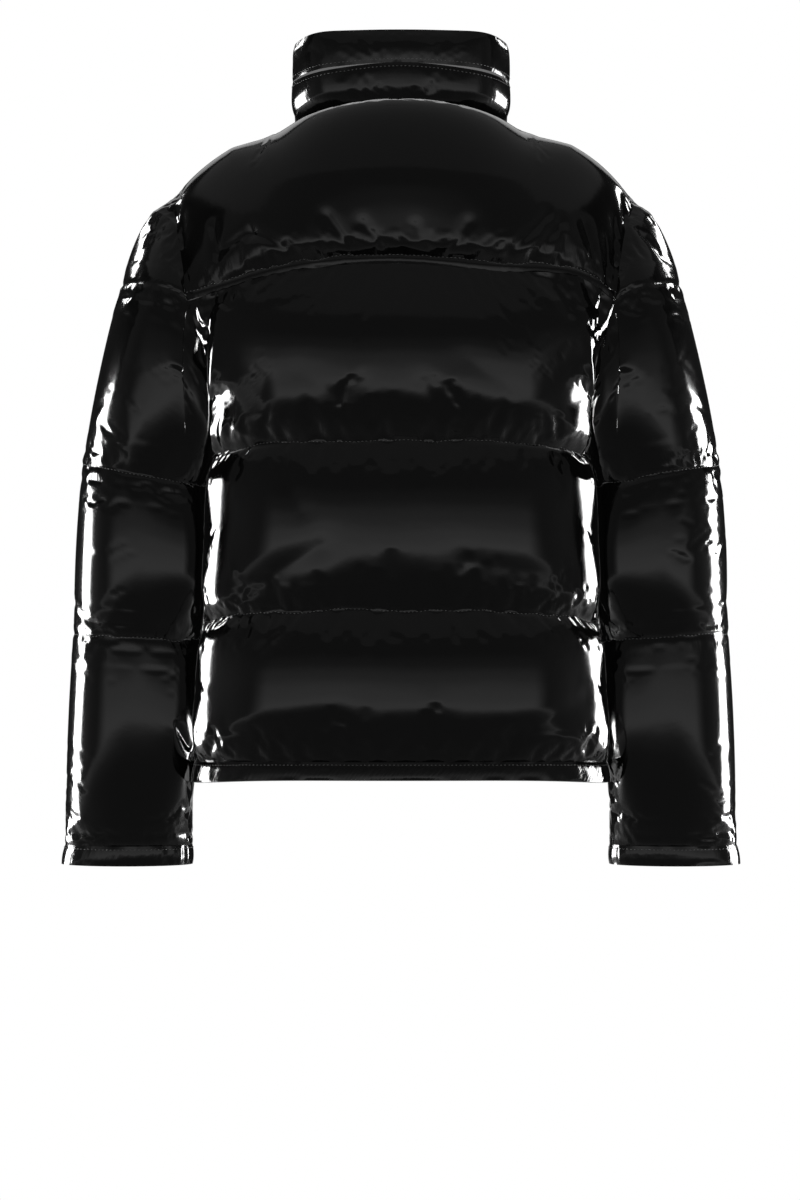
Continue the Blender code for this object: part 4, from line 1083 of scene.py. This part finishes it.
def add_piece(name, mesh, material, body="jacket"):
    """A finished piece on a body."""
    made = new_object(name, mesh)
    made.data.materials.append(bpy.data.materials[material])
    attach(made, body)
    return made


def select_edges(test):
    """Select the edges that lie where the test says, of the mesh in edit mode."""
    bpy.ops.mesh.select_mode(type="EDGE")
    bpy.ops.mesh.select_all(action="DESELECT")
    mesh = bpy.context.object.data
    for edge in bmesh.from_edit_mesh(mesh).edges:
        edge.select_set(all(test(end.co) for end in edge.verts))
    bmesh.update_edit_mesh(mesh)


def extrude(x=0.0, z=0.0):
    bpy.ops.mesh.extrude_region_move(TRANSFORM_OT_translate={"value": (x, 0.0, z)})


def taken_mesh():
    """The mesh just modelled, without its object."""
    bpy.ops.object.mode_set(mode="OBJECT")
    made = bpy.context.object
    mesh = made.data
    bpy.data.objects.remove(made)
    return mesh


def add_copies(name, shape, centres, axes, material):
    """One piece of many copies of a shape: at each centre, with its X, Y and Z along the axes of that place."""
    points = np.array([vertex.co for vertex in shape.vertices])
    corners = (centres[:, None] + points @ axes).reshape(-1, 3)
    outlines = [np.array(face.vertices) for face in shape.polygons]
    faces = [(outline + start).tolist() for start in range(0, len(corners), len(points)) for outline in outlines]
    mesh = bpy.data.meshes.new(name)
    mesh.from_pydata(corners.tolist(), [], faces)
    return add_piece(name, mesh, material)


def make_dash():
    """One dash of thread along X: thickest in its middle, and pointed at both ends."""
    bpy.ops.object.select_all(action="DESELECT")
    bpy.ops.mesh.primitive_circle_add(vertices=4, radius=STITCH["width"] / 2, rotation=(0, math.pi / 2, 0))
    bpy.ops.object.transform_apply(rotation=True)
    bpy.ops.object.mode_set(mode="EDIT")
    for way in (1, -1):
        select_edges(lambda place: abs(place.x) < STITCH["length"] / 4)
        extrude(x=way * STITCH["length"] / 2)
        bpy.ops.mesh.merge(type="COLLAPSE")
    bpy.ops.mesh.select_all(action="SELECT")
    bpy.ops.mesh.normals_make_consistent(inside=False)
    return taken_mesh()


def unit(vectors):
    return vectors / np.maximum(np.linalg.norm(vectors, axis=1), 1e-9)[:, None]


def add_stitches(name, lines, dash):
    """Dashes of thread along lines of points and normals."""
    centres, axes = [], []
    for line, normals in lines:
        lengths = distances(line)
        places = np.arange(STITCH["pitch"] / 2, lengths[-1], STITCH["pitch"])
        step = STITCH["pitch"] / 5
        behind, centre, ahead = (at_shares(line, (places + off) / lengths[-1]) for off in (-step, 0.0, step))
        along = unit(ahead - behind)
        normal = unit(np.stack([np.interp(places, lengths, normals[:, k]) for k in range(3)], axis=1))
        centres.append(centre + normal * STITCH["rise"])
        axes.append(np.stack([along, np.cross(normal, along), normal], axis=1))
    # The stitches' grey is a painted glint on the thread.
    add_copies(name, dash, np.concatenate(centres), np.concatenate(axes), "black_thread")


def seam_row(panel, row):
    """The finished outer points along a row of a piece, and the normals of its grid."""
    return panel.fine[2 * row], doubled(panel.normals[row], 0, panel.ring)


# ---- The zip


def zip_line():
    """The middle of the zip's slot, from the collar's edge to the hem."""
    edges = [PANELS["collar_upper"].grid[:, 0], PANELS["collar_lower"].grid[1:, 0]]
    edges += [PANELS["front_left"].grid[1:, 0], PANELS["hem_band"].grid[1:, 0]]
    return np.concatenate(edges) * (0.0, 1.0, 1.0)


def make_tooth():
    """One moulded tooth, X towards its tape and Y along the zip: a foot on the tape, a waist and a wider head."""
    (foot, half), (waist, _), *_ = TOOTH_STEPS
    bpy.ops.object.select_all(action="DESELECT")
    bpy.ops.mesh.primitive_plane_add(size=2.0)
    bpy.ops.object.mode_set(mode="EDIT")
    bpy.ops.transform.resize(value=((foot - waist) / 2, half * TOOTH["pitch"], 1.0), center_override=(0, 0, 0))
    bpy.ops.transform.translate(value=((foot + waist) / 2, 0.0, TOOTH["outer"]))
    select_edges(lambda place: place.x < (foot + waist) / 2)
    for (before, _), (x, after) in zip(TOOTH_STEPS, TOOTH_STEPS[1:]):
        if x < waist:
            extrude(x=x - before)
        bpy.ops.transform.resize(value=(1.0, after / half, 1.0), center_override=(0, 0, 0))
        half = after
    bpy.ops.mesh.select_all(action="SELECT")
    bpy.ops.mesh.remove_doubles(threshold=1e-6)
    extrude(z=TOOTH["inner"] - TOOTH["outer"])
    bpy.ops.mesh.select_all(action="SELECT")
    bpy.ops.mesh.normals_make_consistent(inside=False)
    return taken_mesh()


def make_teeth():
    """Both rows of teeth, closed from the slider to the hem."""
    line = zip_line()
    lengths = distances(line)
    low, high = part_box("zip_chain")
    start, end = np.interp((-high[2], -low[2]), -line[:, 2], lengths) + (TOOTH["pitch"] / 2, -TOOTH["pitch"] / 2)
    teeth = np.arange(int((end - start) / TOOTH["pitch"] * 2))
    places = start + (teeth + 0.5) * TOOTH["pitch"] / 2
    centre, after = (at_shares(line, (places + step) / lengths[-1]) for step in (0.0, 0.001))
    along = unit(after - centre)
    out = np.cross(along, (1.0, 0.0, 0.0))
    side = np.where(teeth % 2, 1.0, -1.0)[:, None]
    axes = np.stack([side * (1.0, 0.0, 0.0), -side * along, out], axis=1)
    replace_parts(add_copies("zip_teeth", make_tooth(), centre, axes, "moulded_plastic"), "zip_chain")


def rounded_copy(node_name, name, body):
    """A metal part with its edges rounded over."""
    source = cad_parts[node_name]
    bm = bmesh.new()
    bm.from_mesh(source.data)
    bmesh.ops.remove_doubles(bm, verts=bm.verts, dist=1e-6)
    bmesh.ops.dissolve_limit(bm, angle_limit=0.02, verts=bm.verts, edges=bm.edges)
    mesh = bpy.data.meshes.new(name)
    bm.to_mesh(mesh)
    bm.free()
    made = add_piece(name, mesh, "gunmetal", body)
    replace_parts(made, node_name)
    only_select(made)
    bevel = made.modifiers.new("Bevel", "BEVEL")
    bevel.width, bevel.segments, bevel.limit_method = METAL_EDGE, 3, "ANGLE"
    bpy.ops.object.modifier_apply(modifier="Bevel")
    bpy.ops.object.shade_smooth_by_angle(angle=math.radians(40))


# ---- Materials


def node(tree, kind, inputs=None, **settings):
    """A node with its settings, and its inputs set to values or linked to sockets."""
    made = tree.nodes.new(kind)
    for name, value in settings.items():
        setattr(made, name, value)
    for name, value in (inputs or {}).items():
        if isinstance(value, bpy.types.NodeSocket):
            tree.links.new(value, made.inputs[name])
        else:
            made.inputs[name].default_value = value
    return made


def new_group(name, inputs, outputs):
    """A shader node group with float inputs and outputs, apart from the ones named as vectors."""
    group = bpy.data.node_groups.new(name, "ShaderNodeTree")
    for way, sockets in (("INPUT", inputs), ("OUTPUT", outputs)):
        for socket, value in sockets.items():
            kind = "NodeSocketVector" if value is None else "NodeSocketFloat"
            made = group.interface.new_socket(socket, in_out=way, socket_type=kind)
            if value is not None:
                made.default_value = value
    return group, group.nodes.new("NodeGroupInput"), group.nodes.new("NodeGroupOutput")


def calculated(tree, operation, *values):
    """The result of a Math node on numbers or sockets."""
    return node(tree, "ShaderNodeMath", dict(enumerate(values)), operation=operation).outputs[0]


def make_crumple_group():
    """Small wrinkles of a coated film: faint all over, denser towards the seams."""
    group, given, result = new_group(
        "crumple", {"Vector": None, "Off Seam": 1.0, "Size": 90.0}, {"Height": 0.0, "Smudge": 0.0}
    )
    place, off_seam, size = given.outputs[:3]
    near = node(group, "ShaderNodeMapRange", {"Value": off_seam, "From Max": 0.030, "To Min": 1.0, "To Max": 0.0})
    stretch = node(group, "ShaderNodeMapping", {"Vector": place, "Scale": (1.0, 0.28, 1.0)})
    gathers = node(group, "ShaderNodeTexNoise", {"Vector": stretch.outputs[0], "Scale": 260.0, "Detail": 3.0})
    slow = node(group, "ShaderNodeTexNoise", {"Vector": place, "Scale": size, "Detail": 4.0})
    smudge = node(group, "ShaderNodeTexNoise", {"Vector": place, "Scale": 14.0, "Detail": 5.0})
    close = calculated(group, "MULTIPLY", near.outputs[0], gathers.outputs[0])
    faint = calculated(group, "MULTIPLY", slow.outputs[0], 0.15)
    group.links.new(calculated(group, "ADD", close, faint), result.inputs["Height"])
    group.links.new(smudge.outputs[0], result.inputs["Smudge"])


def make_weave_group():
    """Over-and-under threads on flat coordinates."""
    group, given, result = new_group("weave", {"Vector": None, "Threads": 2200.0}, {"Height": 0.0})
    place, threads = given.outputs[:2]
    split = node(group, "ShaderNodeSeparateXYZ", {0: place})
    warp, weft = (
        calculated(group, "SINE", calculated(group, "MULTIPLY", split.outputs[axis], threads)) for axis in (0, 1)
    )
    group.links.new(calculated(group, "MULTIPLY", warp, weft), result.inputs["Height"])


def new_material(name, colour, roughness, metallic=0.0):
    material = bpy.data.materials.new(name)
    material.use_nodes = True
    shader = material.node_tree.nodes["Principled BSDF"]
    shader.inputs["Base Color"].default_value = (*colour, 1.0)
    shader.inputs["Roughness"].default_value = roughness
    shader.inputs["Metallic"].default_value = metallic
    return material, material.node_tree, shader


def add_bump(tree, shader, height, strength, depth):
    bump = node(tree, "ShaderNodeBump", {"Height": height, "Strength": strength, "Distance": depth})
    tree.links.new(bump.outputs[0], shader.inputs["Normal"])


def make_shell_material(colour):
    """Black nylon under a wet-look film."""
    _, tree, shader = new_material("coated_nylon", colour, 0.2)
    uv = node(tree, "ShaderNodeUVMap", uv_map="cut")
    off = node(tree, "ShaderNodeAttribute", attribute_name="off_seam")
    given = {"Vector": uv.outputs[0], "Off Seam": off.outputs["Fac"]}
    crumple = node(tree, "ShaderNodeGroup", given, node_tree=bpy.data.node_groups["crumple"])
    rough = node(tree, "ShaderNodeMapRange", {"Value": crumple.outputs["Smudge"], "To Min": 0.09, "To Max": 0.15})
    tree.links.new(rough.outputs[0], shader.inputs["Roughness"])
    add_bump(tree, shader, crumple.outputs["Height"], 0.5, 0.0008)


def make_woven_material(name, colour, roughness, threads, strength, depth):
    """A woven cloth, on its cut's coordinates. The zip's tapes have no cut, and show a twill on their own."""
    _, tree, shader = new_material(name, colour, roughness)
    if name == "zip_tape":
        own = node(tree, "ShaderNodeTexCoord").outputs["Object"]
        place = node(tree, "ShaderNodeMapping", {"Vector": own, "Rotation": (math.pi / 2, 0.0, math.pi / 4)})
    else:
        place = node(tree, "ShaderNodeUVMap", uv_map="cut")
    given = {"Vector": place.outputs[0], "Threads": threads}
    weave = node(tree, "ShaderNodeGroup", given, node_tree=bpy.data.node_groups["weave"])
    add_bump(tree, shader, weave.outputs["Height"], strength, depth)


def make_materials():
    colours = bpy.context.scene.jacket_colours
    make_crumple_group()
    make_weave_group()
    make_shell_material(colours.shell)
    make_woven_material("plain_lining", colours.lining, 0.45, 1400.0, 0.6, 0.0001)
    make_woven_material("zip_tape", colours.trim, 0.62, 5200.0, 0.7, 0.0002)
    # The thread's grey is a painted glint: the real thread is black, and the grey stands in for the light caught on the
    # stitches and their puckers.
    new_material("black_thread", colours.thread, 0.5)
    new_material("moulded_plastic", colours.zip, 0.38)
    new_material("gunmetal", colours.metal, 0.28, 1.0)


# ---- Stage


def add_light(name, place, target, size, radiance):
    """A rectangular light, aimed at the target."""
    light = bpy.data.lights.new(name, "AREA")
    light.shape = "RECTANGLE"
    light.size, light.size_y = size
    light.energy = radiance * math.pi * size[0] * size[1]
    made = new_object(name, light)
    made.location = place
    made.rotation_euler = (Vector(target) - Vector(place)).to_track_quat("-Z", "Y").to_euler()
    made.visible_camera = False


def emptied(owner):
    """The node tree of a world or material, with nothing in it yet."""
    owner.use_nodes = True
    owner.node_tree.nodes.clear()
    return owner.node_tree


def seen_white(tree, lit):
    """A shader that the camera sees as plain white, and everything else as the lit one."""
    path = node(tree, "ShaderNodeLightPath")
    kind = "ShaderNodeBackground" if lit.node.bl_idname == "ShaderNodeBackground" else "ShaderNodeEmission"
    white = node(tree, kind, {"Color": (1, 1, 1, 1), "Strength": 1.0})
    return node(tree, "ShaderNodeMixShader", {0: path.outputs["Is Camera Ray"], 1: lit, 2: white.outputs[0]}).outputs[0]


def make_world():
    """White behind the jacket for the camera, and dark for everything that the cloth reflects."""
    world = bpy.context.scene.world = bpy.data.worlds.new("studio")
    tree = emptied(world)
    dim = node(tree, "ShaderNodeBackground", {"Color": (1, 1, 1, 1), "Strength": WORLD_GLOW})
    node(tree, "ShaderNodeOutputWorld", {"Surface": seen_white(tree, dim.outputs[0])})


def ramp_of(tree, value, low, high, stops):
    """A smooth grey ramp from low to high, through (value, grey) stops."""
    share = node(tree, "ShaderNodeMapRange", {"Value": value, "From Min": low, "From Max": high})
    ramp = node(tree, "ShaderNodeValToRGB", {"Fac": share.outputs[0]})
    ramp.color_ramp.interpolation = "EASE"
    elements = ramp.color_ramp.elements
    while len(elements) < len(stops):
        elements.new(0.5)
    for element, (place, grey) in zip(elements, stops):
        element.position, element.color = (place - low) / (high - low), (grey, grey, grey, 1.0)
    return ramp.outputs[0]


def make_screen():
    """A dim round screen: brightest a little below the jacket's middle, dark at the two sides."""
    bpy.ops.object.select_all(action="DESELECT")
    radius, height = SCREEN["radius"], SCREEN["height"]
    bpy.ops.mesh.primitive_cylinder_add(vertices=96, radius=radius, depth=height, end_fill_type="NOTHING")
    screen = bpy.context.object
    screen.name = "screen"
    screen.visible_camera = screen.visible_shadow = False
    material = bpy.data.materials.new("screen")
    tree = emptied(material)
    place = node(tree, "ShaderNodeTexCoord")
    x, y, z = node(tree, "ShaderNodeSeparateXYZ", {0: place.outputs["Object"]}).outputs
    rise = ramp_of(tree, z, *SCREEN_RISE)
    behind = calculated(tree, "LESS_THAN", y, 0.0)
    narrower = calculated(tree, "MULTIPLY", behind, SCREEN["narrower"])
    sides = ramp_of(tree, calculated(tree, "ADD", calculated(tree, "ABSOLUTE", x), narrower), *SCREEN_SIDES)
    base = node(tree, "ShaderNodeMapRange", {"Value": behind, "To Min": SCREEN["front"], "To Max": SCREEN["back"]})
    strength = calculated(tree, "ADD", calculated(tree, "MULTIPLY", rise, sides), base.outputs[0])
    emission = node(tree, "ShaderNodeEmission", {"Strength": strength})
    node(tree, "ShaderNodeOutputMaterial", {"Surface": emission.outputs[0]})
    screen.data.materials.append(material)


def make_floor():
    """A pale disc, which carries the screen's glow on towards the jacket and darkens below it."""
    bpy.ops.object.select_all(action="DESELECT")
    radius, place = FLOOR["radius"], (0, 0, FLOOR["z"])
    bpy.ops.mesh.primitive_circle_add(vertices=96, radius=radius, fill_type="NGON", location=place)
    floor = bpy.context.object
    floor.name = "floor"
    material, tree, shader = new_material("floor", FLOOR["colour"], FLOOR["roughness"])
    place = node(tree, "ShaderNodeTexCoord")
    off = node(tree, "ShaderNodeVectorMath", {0: place.outputs["Object"]}, operation="LENGTH")
    tree.links.new(ramp_of(tree, off.outputs["Value"], 0.0, radius, FLOOR_GLOW), shader.inputs["Emission Color"])
    shader.inputs["Emission Strength"].default_value = 1.0
    tree.links.new(seen_white(tree, shader.outputs[0]), tree.nodes["Material Output"].inputs["Surface"])
    floor.data.materials.append(material)


def make_camera():
    """Level, in line with the back's middle, far enough off for little perspective."""
    bpy.context.scene.view_settings.view_transform = "Standard"
    data = bpy.data.cameras.new("camera")
    data.sensor_fit = "VERTICAL"
    data.sensor_height = CAMERA["sensor"]
    data.lens = CAMERA["sensor"] * CAMERA["y"] / CAMERA["view"]
    made = new_object("camera", data)
    made.location = (CAMERA["x"], CAMERA["y"], CAMERA["z"])
    made.rotation_euler = (math.pi / 2, 0, math.pi)
    bpy.context.scene.camera = made


# ---- The add-on


class JacketSizes(bpy.types.PropertyGroup):
    """Sizes that a maker would change."""

    pressure: bpy.props.FloatProperty(name="Filling", description="Pressure of the filling", default=5.0, min=0.0)
    gather: bpy.props.FloatProperty(
        name="Gathers", description="Spare cloth beside the seams", default=0.036, min=0.0, subtype="FACTOR"
    )
    spare: bpy.props.FloatProperty(
        name="Spare cloth", description="Spare cloth between the seams", default=0.004, min=0.0, subtype="FACTOR"
    )
    gather_reach: bpy.props.FloatProperty(
        name="Gather reach", description="How far the gathers run from a seam", default=0.026, unit="LENGTH"
    )
    stiffness: bpy.props.FloatProperty(name="Stiffness", description="How stiffly the cloth bends", default=0.12)


class JacketColours(bpy.types.PropertyGroup):
    """Colours that a maker would change."""

    shell: bpy.props.FloatVectorProperty(
        name="Shell", description="Coated nylon", default=(0.003, 0.003, 0.003), subtype="COLOR", min=0.0, max=1.0
    )
    trim: bpy.props.FloatVectorProperty(
        name="Trim", description="Zip tapes", default=(0.006, 0.006, 0.006), subtype="COLOR", min=0.0, max=1.0
    )
    lining: bpy.props.FloatVectorProperty(
        name="Lining", description="Inside", default=(0.008, 0.008, 0.008), subtype="COLOR", min=0.0, max=1.0
    )
    # Grey rather than black: a painted glint on the stitches.
    thread: bpy.props.FloatVectorProperty(
        name="Thread", description="Stitches", default=(0.20, 0.20, 0.20), subtype="COLOR", min=0.0, max=1.0
    )
    zip: bpy.props.FloatVectorProperty(
        name="Zip", description="Teeth", default=(0.008, 0.008, 0.008), subtype="COLOR", min=0.0, max=1.0
    )
    metal: bpy.props.FloatVectorProperty(
        name="Metal", description="Slider and pull", default=(0.035, 0.035, 0.036), subtype="COLOR", min=0.0, max=1.0
    )


class JACKET_OT_body(bpy.types.Operator):
    """Sew and fill the back, the yoke and the fronts"""

    bl_idname = "jacket.body"
    bl_label = "Body"

    def execute(self, context):
        armhole = armhole_lines()
        front = cut_front_left(armhole)
        sew([cut_back_yoke(armhole), cut_back_panel(armhole), front, opposite(front)], 11)
        return {"FINISHED"}


class JACKET_OT_sleeves(bpy.types.Operator):
    """Sew and fill the sleeves and their caps"""

    bl_idname = "jacket.sleeves"
    bl_label = "Sleeves"

    def execute(self, context):
        armhole = armhole_lines()
        cap, sleeve = cut_cap_left(armhole), cut_sleeve_left(armhole)
        sew([cap, opposite(cap), sleeve, opposite(sleeve)], 31)
        return {"FINISHED"}


class JACKET_OT_collar(bpy.types.Operator):
    """Sew and fill the two bands of the collar"""

    bl_idname = "jacket.collar"
    bl_label = "Collar"

    def execute(self, context):
        lower = cut_collar("collar_lower", "middle", "neck", upright_profile)
        upper = cut_collar("collar_upper", "top", "middle", roll_profile)
        sew([lower, upper], 51)
        return {"FINISHED"}


class JACKET_OT_bands(bpy.types.Operator):
    """Bind the hem and the cuffs"""

    bl_idname = "jacket.bands"
    bl_label = "Bands"

    def execute(self, context):
        cuff = cut_cuff_left()
        sew([cut_hem_band(), cuff, opposite(cuff)], 71, filled=False)
        return {"FINISHED"}


class JACKET_OT_stitching(bpy.types.Operator):
    """Run the threads along the quilting, the flange, the collar and the bands"""

    bl_idname = "jacket.stitching"
    bl_label = "Stitching"

    def execute(self, context):
        dash = make_dash()
        for name, panel in PANELS.items():
            rows = named(THREAD_ROWS, panel, panel.seams[1:-1])
            if rows:
                add_stitches(name + "_stitches", [seam_row(panel, row) for row in rows], dash)
        return {"FINISHED"}


class JACKET_OT_zip(bpy.types.Operator):
    """Finish the zip"""

    bl_idname = "jacket.zip"
    bl_label = "Zip"

    def execute(self, context):
        make_teeth()
        for name in ("zip_tape_left", "zip_tape_right"):
            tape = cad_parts[name].data
            tape.materials.clear()
            tape.materials.append(bpy.data.materials["zip_tape"])
        rounded_copy("zip_slider", "slider", "jacket")
        rounded_copy("zip_pull", "pull_tab", "pull")
        return {"FINISHED"}


class JACKET_OT_stage(bpy.types.Operator):
    """Set the floor, the lights and the camera"""

    bl_idname = "jacket.stage"
    bl_label = "Stage"

    def execute(self, context):
        make_world()
        make_camera()
        for name, ((x, *place), *rest) in LIGHTS.items():
            for side in (1, -1) if x else (1,):
                add_light(name, (side * x, *place), *rest)
        make_screen()
        make_floor()
        return {"FINISHED"}


class JACKET_PT_panel(bpy.types.Panel):
    """The jacket's steps, in the 3D view's sidebar"""

    bl_label = "Puffer jacket"
    bl_idname = "JACKET_PT_panel"
    bl_space_type = "VIEW_3D"
    bl_region_type = "UI"
    bl_category = "Jacket"

    def draw(self, context):
        for group in (context.scene.jacket_sizes, context.scene.jacket_colours):
            for name in group.__annotations__:
                self.layout.prop(group, name)
        for step in STEPS:
            self.layout.operator(step.bl_idname)


STEPS = (
    JACKET_OT_body,
    JACKET_OT_sleeves,
    JACKET_OT_collar,
    JACKET_OT_bands,
    JACKET_OT_stitching,
    JACKET_OT_zip,
    JACKET_OT_stage,
)
CLASSES = (JacketSizes, JacketColours, *STEPS, JACKET_PT_panel)


def register():
    for cls in CLASSES:
        bpy.utils.register_class(cls)
    bpy.types.Scene.jacket_sizes = bpy.props.PointerProperty(type=JacketSizes)
    bpy.types.Scene.jacket_colours = bpy.props.PointerProperty(type=JacketColours)


def unregister():
    del bpy.types.Scene.jacket_colours
    del bpy.types.Scene.jacket_sizes
    for cls in reversed(CLASSES):
        bpy.utils.unregister_class(cls)


def main():
    register()
    make_materials()
    bpy.ops.jacket.body()
    bpy.ops.jacket.sleeves()
    bpy.ops.jacket.collar()
    bpy.ops.jacket.bands()
    bpy.ops.jacket.stitching()
    bpy.ops.jacket.zip()
    bpy.ops.jacket.stage()


if __name__ == "__main__":
    main()
